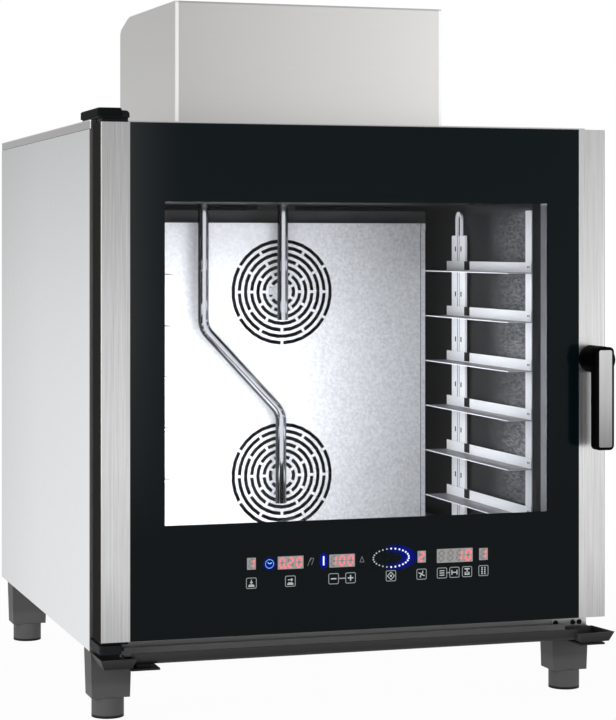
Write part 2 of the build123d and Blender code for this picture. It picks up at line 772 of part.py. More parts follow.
def heat_exchanger():
    """Hollow weldment: flat upright tubes beside the fans, joined by a header under the ceiling."""
    body = Pos(FAN_OFFSET, 0, 0) * (flat_tubes(0) - flat_tubes(TUBE_SHEET))
    body -= block(-BODY_WIDTH, BODY_WIDTH, rear_mount, BODY_DEPTH, BODY_LIFT, body_top)
    top = header_bottom + HEADER_HEIGHT
    return body - along_z(duct_outline(-DUCT_SHEET), top - HEADER_HEIGHT / 2, top + OVERRUN)


def flue_duct():
    """Square duct from the header up into the flue box."""
    z0 = header_bottom + HEADER_HEIGHT
    return along_z(duct_outline(0) - duct_outline(-DUCT_SHEET), z0, body_top + DUCT_RISE)


def flue_outline(inset):
    """Side view of the flue box: nearly flat on top, with a broad bend at the back."""
    y0 = flue_front + inset
    y1 = flue_front + FLUE_DEPTH - inset
    top = body_top + FLUE_HEIGHT - inset
    crown = y1 - FLUE_BEND
    ridge = top + FLUE_CROWN
    outline = make_face(Polyline((y0, body_top), (y0, top), (crown, ridge),
                                 (y1, ridge - FLUE_FALL), (y1, body_top), close=True))
    corners = outline.vertices()
    outline = fillet(near_corner(corners, y0, top), FLUE_CORNER - inset)
    outline = fillet(near_corner(outline.vertices(), crown, ridge), FLUE_BEND_RADIUS)
    return fillet(near_corner(outline.vertices(), y1, ridge - FLUE_FALL), FLUE_REAR_RADIUS - inset)


def flue_box():
    """Folded front, top and back of the flue box, with the hole for its outlet."""
    half = FLUE_WIDTH / 2 - FLUE_SHEET
    wrap = along_x(flue_outline(0) - flue_inside(), -half, half)
    y = flue_front + FLUE_OUTLET_SETBACK
    hole = FLUE_OUTLET + 2 * (FLUE_SHEET + FIT_GAP)
    return wrap - rod_z(0, y, hole, body_top + FLUE_HEIGHT / 2, body_top + 2 * FLUE_HEIGHT)


def flue_inside():
    """Side view of the space in the flue box, open at the bottom."""
    low = rect(flue_front + FLUE_SHEET, flue_front + FLUE_DEPTH - FLUE_SHEET,
               body_top - OVERRUN, body_top + OVERRUN)
    return flue_outline(FLUE_SHEET) + low


def flue_box_sides():
    """Flat side plates of the flue box."""
    half = FLUE_WIDTH / 2
    plate = along_x(flue_outline(0), half - FLUE_SHEET, half)
    return [plate, mirrored(plate)]


def flue_collar():
    """Round collar in the outlet, level with the top sheet."""
    y = flue_front + FLUE_OUTLET_SETBACK
    slope = FLUE_CROWN / (FLUE_DEPTH - FLUE_BEND)
    z1 = body_top + FLUE_HEIGHT + slope * (FLUE_OUTLET_SETBACK - FLUE_OUTLET / 2)
    ring = disc(0, y, FLUE_OUTLET + 2 * FLUE_SHEET) - disc(0, y, FLUE_OUTLET)
    return along_z(ring, z1 - FLUE_COLLAR, z1)


def burner_manifold():
    """Gas and air box that feeds both tube banks."""
    half = bank_middle + STUB_SIDE / 2 + HEADER_MARGIN
    return block(FAN_OFFSET - half, FAN_OFFSET + half, rear_mount, rear_mount + MANIFOLD_DEPTH,
                 manifold_bottom, manifold_bottom + MANIFOLD_HEIGHT)


def combustion_blower():
    """Round blower housing with its throat on the manifold and a square motor behind."""
    x = FAN_OFFSET - bank_middle + BLOWER_THROAT / 2
    top = manifold_bottom + MANIFOLD_HEIGHT
    z = top + BLOWER_RISE + BLOWER_DIAMETER / 2
    y1 = rear_mount + BLOWER_DEPTH
    housing = rod_y(x, z, BLOWER_DIAMETER, rear_mount, y1)
    housing += block(x - BLOWER_DIAMETER / 2, x - BLOWER_DIAMETER / 2 + BLOWER_THROAT, rear_mount,
                     rear_mount + MANIFOLD_DEPTH, top, z)
    return housing + along_y(square(x, z, BLOWER_MOTOR_SIDE), y1, y1 + BLOWER_MOTOR_LENGTH)


def gas_place():
    """Where the gas pipe runs, seen from the front."""
    return FAN_OFFSET - bank_middle + VALVE_OFFSET, stub_z


def gas_valve():
    """Gas valve on the back of the manifold."""
    x, z = gas_place()
    half = VALVE_SIDE / 2
    y0 = rear_mount + MANIFOLD_DEPTH
    body = block(x - half, x + half, y0, y0 + VALVE_SIDE, z - half, z + half / 2)
    coil = half / 2
    return body + block(x - coil, x + coil, y0 + coil, y0 + VALVE_SIDE - coil, z + half / 2, z + half)


def gas_inlet():
    """Pipe from the valve through the back panel, with a nut and a plain threaded end."""
    x, z = gas_place()
    y0 = rear_mount + MANIFOLD_DEPTH + VALVE_SIDE
    nut_end = BODY_DEPTH + GAS_NUT_LENGTH
    pipe = rod_y(x, z, GAS_PIPE_DIAMETER, y0, BODY_DEPTH)
    nut = Pos(x, z) * RegularPolygon(GAS_NUT / 2, NUT_SIDES, major_radius=False)
    pipe += along_y(nut, BODY_DEPTH, nut_end)
    return pipe + rod_y(x, z, GAS_THREAD_DIAMETER, nut_end, nut_end + GAS_THREAD_LENGTH)


# Water and drain

def water_place():
    """Where the supply pipe runs, seen from the front."""
    return -PIPE_ENTRY_OFFSET / 2, insulation_top + SOFT_GAP + VALVE_BLOCK_HEIGHT / 2


def water_valve():
    """Valve block on the insulation, on the ends of both steam pipes."""
    x0 = -PIPE_ENTRY_OFFSET - VALVE_BLOCK_MARGIN
    x1 = FAN_OFFSET / 2 + VALVE_BLOCK_MARGIN
    z0 = insulation_top + SOFT_GAP
    half = VALVE_BLOCK_DEPTH / 2
    body = block(x0, x1, pipe_y - half, pipe_y + half, z0, z0 + VALVE_BLOCK_HEIGHT)
    for x in (-PIPE_ENTRY_OFFSET, FAN_OFFSET / 2):
        coil = along_z(square(x, pipe_y, half), z0, z0 + VALVE_BLOCK_HEIGHT + half / 2)
        body += coil
    return body


def water_inlet():
    """Supply pipe from the valve block to its fitting outside the back panel."""
    x, z = water_place()
    pipe = rod_y(x, z, SUPPLY_DIAMETER, pipe_y + VALVE_BLOCK_DEPTH / 2, BODY_DEPTH)
    return pipe + rod_y(x, z, WATER_THREAD_DIAMETER, BODY_DEPTH, BODY_DEPTH + WATER_THREAD_LENGTH)


def drain_cover():
    """Slotted plate over the drain in the cavity floor."""
    face = square(0, drain_y, DRAIN_COVER_SIDE)
    for k in range(DRAIN_SLOTS):
        y = drain_y + (k - (DRAIN_SLOTS - 1) / 2) * DRAIN_SLOT_PITCH
        face -= Pos(0, y) * Rectangle(DRAIN_SLOT_LENGTH, DRAIN_SLOT_WIDTH)
    return along_z(face, cavity_floor, cavity_floor + DRAIN_COVER_THICKNESS)


def drain_pipe():
    """Square sump under the cavity floor, and the round pipe from it out of the back."""
    half = SUMP_SIDE / 2
    top = cavity_floor - LINER_SHEET
    low = drain_z - DRAIN_PIPE_DIAMETER / 2
    wall = DRAIN_PIPE_WALL
    pipe = block(-half, half, drain_y - half, drain_y + half, low, top)
    end = BODY_DEPTH + DRAIN_REACH
    pipe += rod_y(0, drain_z, DRAIN_PIPE_DIAMETER, drain_y, end)
    pipe += rod_y(0, drain_z, DRAIN_SPIGOT_DIAMETER, end - DRAIN_SPIGOT_LENGTH, end)
    pipe -= block(-half + wall, half - wall, drain_y - half + wall, drain_y + half - wall,
                  low + wall, top + OVERRUN)
    return pipe - rod_y(0, drain_z, DRAIN_PIPE_DIAMETER - 2 * wall, drain_y, end + OVERRUN)


# Electrical pieces

def power_board():
    """Circuit board on standoffs at the right side panel, with its larger components."""
    x1 = half_width - OUTER_SHEET
    board_x = x1 - ELECTRIC_BOARD_STANDOFF
    y0 = rear_mount + ELECTRIC_BOARD_SETBACK
    y1 = y0 + ELECTRIC_BOARD_DEPTH
    z0 = BODY_LIFT + ELECTRIC_BOARD_RISE
    z1 = z0 + ELECTRIC_BOARD_HEIGHT
    board = block(board_x - ELECTRIC_BOARD_SHEET, board_x, y0, y1, z0, z1)
    for y in (y0 + STANDOFF_INSET, y1 - STANDOFF_INSET):
        for z in (z0 + STANDOFF_INSET, z1 - STANDOFF_INSET):
            board += along_x(square(y, z, STANDOFF_SIDE), board_x, x1)
    face = board_x - ELECTRIC_BOARD_SHEET
    for k in range(BOARD_BLOCKS):
        z = z0 + (k + 1) * ELECTRIC_BOARD_HEIGHT / (BOARD_BLOCKS + 1)
        board += block(face - PART_HEIGHT, face, y0 + 2 * STANDOFF_INSET, y0 + ELECTRIC_BOARD_DEPTH / 2,
                       z - PART_HEIGHT / 2, z + PART_HEIGHT / 2)
    return board


def terminal_block():
    """Mains terminal block on the inside of the back panel."""
    z = BODY_LIFT + TERMINAL_RISE
    x = half_width - TERMINAL_INSET
    half = TERMINAL_WIDTH / 2
    body = block(x - half, x + half, panel_back - TERMINAL_DEPTH, panel_back, z, z + TERMINAL_HEIGHT)
    return chamfer(body.edges().filter_by(Axis.X), BEND_RADIUS)


def cable_gland():
    """Gland for the mains lead, with six-sided body, cap and inner nut, and no lead in it."""
    x, z = gland_x, BODY_LIFT + GLAND_RISE
    y0 = panel_back - GLAND_NUT_LENGTH
    end = BODY_DEPTH + GLAND_REACH
    nut = Pos(x, z) * RegularPolygon(GLAND_NUT / 2, NUT_SIDES, major_radius=False)
    cap = Pos(x, z) * RegularPolygon(GLAND_DIAMETER / 2, NUT_SIDES, major_radius=False)
    gland = along_y(nut, y0, panel_back) + along_y(nut, BODY_DEPTH, BODY_DEPTH + GLAND_NUT_LENGTH)
    gland += rod_y(x, z, GLAND_DIAMETER, panel_back, BODY_DEPTH)
    gland += along_y(cap, BODY_DEPTH + GLAND_NUT_LENGTH, end)
    return gland - rod_y(x, z, GLAND_BORE, y0 - OVERRUN, end + OVERRUN)


# Drip tray, corner plate and feet

def left_pocket(inset):
    """Outline of the tray's left end from above."""
    return rect(-half_width + inset, -half_width + TRAY_LEFT_POCKET - inset,
                -TRAY_POCKET_FRONT + inset, TRAY_BACK - inset)


def right_pocket(inset):
    """Outline of the tray's right end, which stands out past the cabinet."""
    front = -TRAY_POCKET_FRONT
    reach = half_width + TRAY_RIGHT_PROUD
    outline = make_face(Polyline((tray_right_x, front), (reach, front + TRAY_CORNER_CUT),
                                 (half_width + TRAY_RIGHT_BACK_PROUD, TRAY_BACK),
                                 (tray_right_x, TRAY_BACK), close=True))
    return outline if inset == 0 else offset(outline, amount=-inset, kind=Kind.INTERSECTION)


def pocket(outline, depth):
    """Tapered block that hangs down from the rim."""
    return Pos(0, 0, TRAY_RIM) * extrude(outline, amount=-depth, taper=TRAY_POCKET_TAPER)


def gutter(inset, x0, x1):
    """Trough between the two ends, with a round nose at the front."""
    outline = rect(GUTTER_FRONT + inset, TRAY_BACK - inset,
                   TRAY_RIM - TRAY_DEPTH + GUTTER_BOTTOM_RISE + inset, TRAY_RIM + GUTTER_TOP_RISE)
    nose = outline.vertices().group_by(Axis.Y)[0].sort_by(Axis.Z)[0]
    return along_x(fillet(nose, GUTTER_NOSE - inset), x0, x1)


def drip_tray():
    """Moulded trough under the door: a gutter with a deeper pocket at each end."""
    x0 = -half_width + TRAY_LEFT_POCKET
    x1 = tray_right_x
    lap = 2 * TRAY_WALL
    outer = gutter(0, x0 - lap, x1 + lap) + pocket(left_pocket(0), TRAY_DEPTH)
    outer += pocket(right_pocket(0), TRAY_DEPTH)
    low = TRAY_DEPTH - TRAY_WALL
    tray = outer - gutter(TRAY_WALL, x0 - 2 * lap, x1 + 2 * lap)
    tray -= pocket(left_pocket(TRAY_WALL), low)
    tray -= pocket(right_pocket(TRAY_WALL), low)
    rim = TRAY_RIM + GUTTER_TOP_RISE
    flange = half_width - GUTTER_FLANGE_INSET
    tray += block(-flange, flange, TRAY_BACK - TRAY_WALL, front_face,
                  rim - GUTTER_FLANGE, rim)
    bottom = TRAY_RIM - TRAY_DEPTH
    for x in (x0 + CLIP_WIDTH / 2 - CLIP_INSET, x1 + CLIP_WIDTH / 2 + CLIP_INSET):
        clip = rect(x - CLIP_WIDTH / 2, x + CLIP_WIDTH / 2, CLIP_INSET, CLIP_INSET + CLIP_DEPTH)
        tray += along_z(clip, bottom - CLIP_DROP - CLIP_THICKNESS, bottom - CLIP_DROP)
        neck = rect(x - CLIP_NECK_WIDTH / 2, x + CLIP_NECK_WIDTH / 2, CLIP_NECK_SETBACK,
                    CLIP_NECK_SETBACK + CLIP_NECK_DEPTH)
        tray += along_z(neck, bottom - CLIP_DROP, bottom + GUTTER_BOTTOM_RISE)
    return tray


def corner_plate():
    """Small plate at the lower right corner of the front frame."""
    x1 = half_width
    return along_y(rect(x1 - PLATE_WIDTH, x1, BODY_LIFT, BODY_LIFT + PLATE_HEIGHT),
                   front_face - PLATE_THICKNESS, front_face)


def foot_places():
    """Corner names with the X and Y middle of each foot."""
    x = half_width - SOCKET_WIDTH / 2
    front = SOCKET_FRONT + SOCKET_DEPTH / 2
    rear = BODY_DEPTH - SOCKET_REAR_INSET - SOCKET_DEPTH / 2
    return {"front_left": (-x, front), "front_right": (x, front),
            "rear_left": (-x, rear), "rear_right": (x, rear)}


def foot_socket(x, y):
    """Tapered square socket bolted under the base, with a six-sided hole for the foot's stem."""
    low = Pos(0, 0, SOCKET_CLEARANCE) * Rectangle(SOCKET_WIDTH - 2 * SOCKET_DRAFT,
                                                  SOCKET_DEPTH - 2 * SOCKET_DRAFT)
    socket = loft([low, Pos(0, 0, BODY_LIFT) * Rectangle(SOCKET_WIDTH, SOCKET_DEPTH)])
    hole = RegularPolygon(FOOT_STEM / 2 + FIT_GAP, NUT_SIDES, major_radius=False)
    top = SOCKET_CLEARANCE + FOOT_STEM_LENGTH + HOLE_CLEAR
    return Pos(x, y, 0) * (socket - along_z(hole, SOCKET_CLEARANCE - OVERRUN, top))


def foot(x, y):
    """Height-adjustable foot: a round pad and a six-sided stem in the socket."""
    top = SOCKET_CLEARANCE - SOFT_GAP
    stem = RegularPolygon(FOOT_STEM / 2, NUT_SIDES, major_radius=False)
    pad = along_z(disc(0, 0, FOOT_DIAMETER), 0, top)
    return Pos(x, y, 0) * (pad + along_z(stem, top, top + FOOT_STEM_LENGTH))


# Door

def door_profile():
    """Right stainless edge profile, folded round the front, side and back."""
    outline = rect(profile_inner, half_width, 0, DOOR_DEPTH)
    front_corner = outline.vertices().group_by(Axis.X)[-1].sort_by(Axis.Y)[0]
    outline = fillet(front_corner, PROFILE_RADIUS)
    shape = along_z(outline, door_bottom, door_top)
    hollow = rect(profile_inner - OVERRUN, half_width - PROFILE_SHEET, PROFILE_SHEET,
                  DOOR_DEPTH - PROFILE_SHEET)
    inner_corner = hollow.vertices().group_by(Axis.X)[-1].sort_by(Axis.Y)[0]
    hollow = fillet(inner_corner, PROFILE_RADIUS - PROFILE_SHEET)
    return shape - along_z(hollow, door_bottom + PROFILE_SHEET, door_top - PROFILE_SHEET)


def right_door_profile():
    """Right profile with the two holes that the latch shaft turns in."""
    hole = rod_y(hub_x, hub_z, SHAFT_DIAMETER + 2 * FIT_GAP, -OVERRUN, DOOR_DEPTH + OVERRUN)
    return door_profile() - hole


def left_door_profile():
    """Left profile with the holes for both hinge pins."""
    hole = rod_z(hinge_x, HINGE_SETBACK, HINGE_PIN + 2 * FIT_GAP, door_bottom - OVERRUN,
                 door_top + OVERRUN)
    return mirrored(door_profile()) - hole


def door_glass():
    """Outer pane, flush with the profiles."""
    half = profile_inner - GLASS_EDGE_GAP
    return along_y(rect(-half, half, door_bottom, door_top), GLASS_INSET, glass_back)


def door_rail(z0, z1, open_up):
    """Folded rail behind the top or bottom edge of the glass, between the profiles."""
    back = DOOR_DEPTH - PROFILE_SHEET
    outline = rect(glass_back, back, z0, z1)
    low = z0 + (PROFILE_SHEET if open_up else -OVERRUN)
    high = z1 + (OVERRUN if open_up else -PROFILE_SHEET)
    outline -= rect(glass_back + PROFILE_SHEET, back - PROFILE_SHEET, low, high)
    return along_x(outline, -profile_inner, profile_inner)


def window_surround():
    """Shape of the black frame on the back of the door, with its tunnel round the window."""
    edge = half_width - INNER_FRAME_MARGIN
    z0 = door_bottom + INNER_FRAME_MARGIN
    z1 = door_top - INNER_FRAME_MARGIN
    wall = PROFILE_SHEET
    lap = INNER_GLASS_LAP
    pocket_front = door_back - INNER_GLASS - 2 * SOFT_GAP
    frame = block(-edge, edge, DOOR_DEPTH, door_back, z0, z1)
    hollow = block(-edge + wall, edge - wall, DOOR_DEPTH - OVERRUN, door_back - wall,
                   z0 + wall, z1 - wall)
    margin = lap + wall
    hollow -= block(-window_half - margin, window_half + margin, DOOR_DEPTH - OVERRUN, door_back,
                    window_bottom - margin, window_top + margin)
    frame -= hollow
    frame += block(-window_half - wall, window_half + wall, DOOR_DEPTH - TUNNEL_DEPTH, DOOR_DEPTH,
                   window_bottom - wall, window_top + wall)
    frame -= block(-window_half, window_half, DOOR_DEPTH - TUNNEL_DEPTH - OVERRUN,
                   door_back + OVERRUN, window_bottom, window_top)
    frame -= block(-window_half - lap, window_half + lap, pocket_front, door_back + OVERRUN,
                   window_bottom - lap, window_top + lap)
    frame -= rod_y(hub_x, hub_z, SHAFT_DIAMETER + 2 * SOFT_GAP, DOOR_DEPTH, door_back + OVERRUN)
    return frame


def inner_door_frame():
    """Black frame on the back of the door, of two upright bars and two level ones between them."""
    frame = window_surround()
    front = DOOR_DEPTH - TUNNEL_DEPTH
    right = frame & block(window_half, half_width, front, door_back, door_bottom, door_top)
    left = frame & block(-half_width, -window_half, front, door_back, door_bottom, door_top)
    low = frame & block(-window_half, window_half, front, door_back, door_bottom, window_bottom)
    high = frame & block(-window_half, window_half, front, door_back, window_top, door_top)
    return [right, left, low, high]


def inner_door_glass():
    """Inner pane in the recess of the black frame."""
    half = window_half + INNER_GLASS_LAP - SOFT_GAP
    front = door_back - INNER_GLASS - 2 * SOFT_GAP
    return along_y(rect(-half, half, window_bottom - INNER_GLASS_LAP + SOFT_GAP,
                        window_top + INNER_GLASS_LAP - SOFT_GAP), front, front + INNER_GLASS)


def glass_spacers():
    """Bright bars between the panes: two lengths at each side and one across the top."""
    back = DOOR_DEPTH - TUNNEL_DEPTH
    x0 = window_half + SOFT_GAP
    x1 = x0 + SPACER_WIDTH
    split = door_bottom + SPACER_SPLIT_RISE
    bars = []
    for z0, z1 in ((window_bottom, split - SEAM), (split, window_top)):
        bar = block(x0, x1, glass_back, back, z0, z1)
        bars += [bar, mirrored(bar)]
    bars.append(block(-x1, x1, glass_back, back, window_top + SEAM, window_top + SPACER_WIDTH))
    return bars


def touch_board():
    """Touch and display board against the back of the glass."""
    half = BOARD_WIDTH / 2
    z0 = door_bottom + BOARD_RISE
    z1 = z0 + BOARD_HEIGHT
    back = glass_back + BOARD_DEPTH
    tray = block(BOARD_OFFSET - half, BOARD_OFFSET + half, glass_back, back, z0, z1)
    rim = PROFILE_SHEET
    return tray - block(BOARD_OFFSET - half + rim, BOARD_OFFSET + half - rim, back - BOARD_DEPTH / 2,
                        back + OVERRUN, z0 + rim, z1 - rim)


# Handle and latch

def handle_lever():
    """Flat lever that hangs from a round hub."""
    x0 = hub_x - GRIP_WIDTH / 2
    z1 = hub_z + GRIP_ABOVE_HUB
    face = -HANDLE_REACH + INSERT_PROUD
    back = -HANDLE_REACH + GRIP_THICKNESS
    grip = along_y(rounded(x0, x0 + GRIP_WIDTH, z1 - GRIP_LENGTH, z1, GRIP_RADIUS), face, back)
    grip = chamfer(grip.edges().group_by(Axis.Y)[0], GRIP_EDGE)
    hub = rod_y(hub_x, hub_z, HUB_DIAMETER, back - GRIP_THICKNESS / 2, -HANDLE_GAP)
    lever = grip + hub
    lever -= insert_block(SOFT_GAP, OVERRUN)
    reach = -HANDLE_REACH + GRIP_THICKNESS / 2
    return lever - rod_y(hub_x, hub_z, SHAFT_DIAMETER + 2 * FIT_GAP, reach, OVERRUN)


def insert_block(grow, lead):
    """Block of the handle's insert, grown to cut its recess."""
    border = INSERT_BORDER - grow
    x0 = hub_x - GRIP_WIDTH / 2 + border
    z1 = hub_z + GRIP_ABOVE_HUB - border
    outline = rounded(x0, x0 + GRIP_WIDTH - 2 * border, z1 - GRIP_LENGTH + 2 * border, z1,
                      GRIP_RADIUS - INSERT_BORDER + grow)
    return along_y(outline, -HANDLE_REACH - lead, -HANDLE_REACH + INSERT_THICKNESS)


def handle_insert():
    """Brushed plate in the face of the lever."""
    return insert_block(0, 0)


def latch_shaft():
    """Shaft from the lever through the door, with the hook behind the front frame."""
    y0 = panel_front + HOOK_SETBACK
    y1 = y0 + HOOK_THICKNESS
    shaft = rod_y(hub_x, hub_z, SHAFT_DIAMETER, -HANDLE_REACH + GRIP_THICKNESS / 2, y1)
    hook = rect(hub_x - HOOK_WIDTH / 2, hub_x + HOOK_WIDTH / 2, hub_z, hub_z + HOOK_LENGTH)
    return shaft + along_y(hook, y0, y1)


def latch_keeper():
    """Block behind the front frame with the pin that the hook stops under."""
    reach = SHAFT_DIAMETER / 2 + LATCH_CLEAR
    z = hub_z + HOOK_LENGTH + KEEPER_GAP + KEEPER_DIAMETER / 2
    top = z + KEEPER_DIAMETER / 2 + LATCH_CLEAR
    x0 = hub_x - SHAFT_DIAMETER
    body = block(x0, hub_x + reach, panel_front, panel_front + KEEPER_BLOCK, top, top + KEEPER_BLOCK)
    y = panel_front + KEEPER_BLOCK / 2
    for x in (x0, hub_x + reach - FRONT_SHEET):
        body += block(x, x + FRONT_SHEET, panel_front, panel_front + KEEPER_BLOCK, z, top)
    return body + along_x(disc(y, z, KEEPER_DIAMETER), x0, hub_x + reach)


# Hinges

def top_hinge_arm():
    """Steel arm on the top cover that reaches over the door."""
    x0 = -half_width
    return along_z(rounded(x0, x0 + HINGE_CAP_WIDTH - HINGE_CAP_PROUD - SOFT_GAP, HINGE_CAP_FRONT,
                           HINGE_CAP_BACK, HINGE_CAP_RADIUS), body_top, body_top + HINGE_ARM_THICKNESS)


def top_hinge_cap():
    """Black cover over the arm."""
    x0 = -half_width - HINGE_CAP_PROUD
    z0 = body_top + HINGE_ARM_THICKNESS
    z1 = z0 + HINGE_CAP_HEIGHT
    cap = along_z(rounded(x0, x0 + HINGE_CAP_WIDTH, 0, HINGE_CAP_BACK, HINGE_CAP_RADIUS), z0, z1)
    wall = HINGE_CAP_WALL
    cap = chamfer(cap.edges().group_by(Axis.Z)[-1], wall)
    return cap - block(x0 + wall, x0 + HINGE_CAP_WIDTH - wall, wall + HINGE_CAP_FRONT,
                       HINGE_CAP_BACK - wall - HINGE_CAP_FRONT, z0 - OVERRUN, z1 - wall)


def hinge_pins():
    """Upper pin under the arm and lower pin on the block."""
    low = door_bottom - LOWER_BEARING - SOFT_GAP
    upper = rod_z(hinge_x, HINGE_SETBACK, HINGE_PIN, door_top - HINGE_PIN_REACH, body_top)
    return [upper, rod_z(hinge_x, HINGE_SETBACK, HINGE_PIN, low, low + HINGE_PIN_REACH)]


def hinge_bearings():
    """Bearing plates on the top and bottom ends of the door."""
    plate = rect(hinge_x - BEARING_REACH, hinge_x + BEARING_REACH + BEARING_RADIUS,
                 HINGE_SETBACK - BEARING_RADIUS, HINGE_SETBACK + BEARING_RADIUS)
    plate -= disc(hinge_x, HINGE_SETBACK, HINGE_PIN + 2 * FIT_GAP)
    upper = along_z(plate, door_top, door_top + BEARING_THICKNESS)
    return [upper, along_z(plate, door_bottom - LOWER_BEARING, door_bottom)]


def lower_hinge_bracket():
    """Black block under the door, on the front frame."""
    z1 = door_bottom - LOWER_BEARING - SOFT_GAP
    x0 = -half_width
    outline = rounded(x0, x0 + HINGE_CAP_WIDTH - HINGE_CAP_PROUD, 0, DOOR_DEPTH, HINGE_CAP_RADIUS)
    outline += rect(x0, x0 + HINGE_CAP_WIDTH / 2, DOOR_DEPTH / 2, front_face)
    return along_z(outline, z1 - LOWER_BLOCK_HEIGHT, z1)


def build_pieces():
    """Every node with its solids, in drawing coordinates."""
    pieces = {
        "base_pan": base_pan(),
        "right_side_panel": side_panel(),
        "left_side_panel": mirrored(side_panel()),
        "top_cover": top_cover(),
        "back_panel": back_panel(),
        "front_frame": front_frame(),
        "cavity_liner": cavity_liner(),
        "cavity_insulation": cavity_insulation(),
        "door_gasket": door_gasket(),
        "fan_deflector": fan_deflector(),
        "steam_pipes": [long_steam_pipe(), short_steam_pipe()],
        "right_rack_rails": rack_rails(),
        "left_rack_rails": [mirrored(rail) for rail in rack_rails()],
        "right_rack_posts": rack_posts(),
        "left_rack_posts": [mirrored(post) for post in rack_posts()],
        "heat_exchanger": heat_exchanger(),
        "flue_duct": flue_duct(),
        "flue_box": flue_box(),
        "flue_box_sides": flue_box_sides(),
        "flue_collar": flue_collar(),
        "burner_manifold": burner_manifold(),
        "combustion_blower": combustion_blower(),
        "gas_valve": gas_valve(),
        "gas_inlet": gas_inlet(),
        "water_supply": [water_valve(), water_inlet()],
        "drain_cover": drain_cover(),
        "drain_pipe": drain_pipe(),
        "power_board": power_board(),
        "terminal_block": terminal_block(),
        "cable_gland": cable_gland(),
        "drip_tray": drip_tray(),
        "corner_plate": corner_plate(),
        "latch_keeper": latch_keeper(),
        "top_hinge_arm": top_hinge_arm(),
        "top_hinge_cap": top_hinge_cap(),
        "hinge_pins": hinge_pins(),
        "lower_hinge_bracket": lower_hinge_bracket(),
        "door_glass": door_glass(),
        "left_door_profile": left_door_profile(),
        "right_door_profile": right_door_profile(),
        "door_rails": [door_rail(door_top - RAIL_HEIGHT, door_top, False),
                       door_rail(door_bottom, door_bottom + RAIL_HEIGHT, True)],
        "inner_door_frame": inner_door_frame(),
        "inner_door_glass": inner_door_glass(),
        "glass_spacers": glass_spacers(),
        "touch_board": touch_board(),
        "hinge_bearings": hinge_bearings(),
        "handle_lever": handle_lever(),
        "handle_insert": handle_insert(),
        "latch_shaft": latch_shaft(),
    }
    for name, z in zip(("lower", "upper"), fan_heights):
        pieces[name + "_fan_wheel"] = fan_wheel(z)
        pieces[name + "_fan_shaft"] = fan_shaft(z)
        pieces[name + "_fan_motor"] = fan_motor(z)
    return pieces


def solids_of(shape):
    """Plain list of the solids in a piece."""
    parts = shape if isinstance(shape, list) else [shape]
    return [solid for part in parts for solid in part.solids()]


def whole_box(pieces):
    """Lowest and highest corner of all solids."""
    boxes = [s.bounding_box() for shape in pieces.values() for s in solids_of(shape)]
    low = [min(getattr(b.min, axis) for b in boxes) for axis in "XYZ"]
    high = [max(getattr(b.max, axis) for b in boxes) for axis in "XYZ"]
    return low, high


def main():
    """Build every piece, move it to the final origin and write one file for each."""
    os.makedirs("parts", exist_ok=True)
    pieces = build_pieces()
    pieces["foot_sockets"] = [foot_socket(x, y) for x, y in foot_places().values()]
    low, high = whole_box(pieces)
    move = Pos(-(low[0] + high[0]) / 2, -(low[1] + high[1]) / 2, 0)
    print("moved by", move.position)
    for corner, (x, y) in foot_places().items():
        pieces[corner + "_foot"] = foot(x, y)
    for name, shape in pieces.items():
        export_step(Compound([move * solid for solid in solids_of(shape)]), f"parts/{name}.step")


main()
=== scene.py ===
import json
import math

import bmesh
import bpy
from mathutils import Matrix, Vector


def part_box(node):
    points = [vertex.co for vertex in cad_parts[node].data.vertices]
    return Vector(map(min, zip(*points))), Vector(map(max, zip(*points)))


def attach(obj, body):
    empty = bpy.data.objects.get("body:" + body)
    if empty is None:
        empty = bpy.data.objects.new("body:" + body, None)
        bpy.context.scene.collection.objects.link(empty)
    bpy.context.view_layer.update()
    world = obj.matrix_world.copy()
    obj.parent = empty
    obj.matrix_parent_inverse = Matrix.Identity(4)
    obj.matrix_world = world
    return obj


# Looks of a bakery convection oven. Places and sizes are in millimetres, and at() gives their metres.
# X runs to the right from the middle of the cabinet, Y back from the door front, Z up from the floor.

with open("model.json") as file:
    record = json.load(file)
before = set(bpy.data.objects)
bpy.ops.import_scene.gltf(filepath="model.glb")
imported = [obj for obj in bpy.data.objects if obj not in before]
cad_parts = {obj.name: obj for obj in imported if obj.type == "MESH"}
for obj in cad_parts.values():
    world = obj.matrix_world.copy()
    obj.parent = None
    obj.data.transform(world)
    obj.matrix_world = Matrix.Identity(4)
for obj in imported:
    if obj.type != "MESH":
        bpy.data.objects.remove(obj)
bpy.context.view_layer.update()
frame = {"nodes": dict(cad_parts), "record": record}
nodes = frame["nodes"]

MM = 0.001
WHITE = (1, 1, 1, 1)
cover_low, cover_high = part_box("top_cover")
MIDDLE_X = (cover_low.x + cover_high.x) / 2
DOOR_FRONT_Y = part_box("right_door_profile")[0].y

# Camera: a level view with shift, as the photograph was taken
CAMERA_X = -1149.2
CAMERA_Y = -3249.6
CAMERA_Z = 748.6
CAMERA_TURN = 16.49
CAMERA_LENS = 107.0
CAMERA_SENSOR = 36.0
SHIFT_RIGHT = 0.0806
SHIFT_UP = -0.1573

# Window in the printed pane
WINDOW_HALF = 326.0
WINDOW_BOTTOM = 311.0
WINDOW_TOP = 820.0


def at(x, y, z):
    """Point in the frame from millimetres off the cabinet's middle, the door front and the floor."""
    return Vector((MIDDLE_X + x * MM, DOOR_FRONT_Y + y * MM, z * MM))


def in_mm(point):
    """The reverse of at(): millimetres of a point off the cabinet's middle, door front and floor."""
    return (point.x - MIDDLE_X) / MM, (point.y - DOOR_FRONT_Y) / MM, point.z / MM


# Node trees

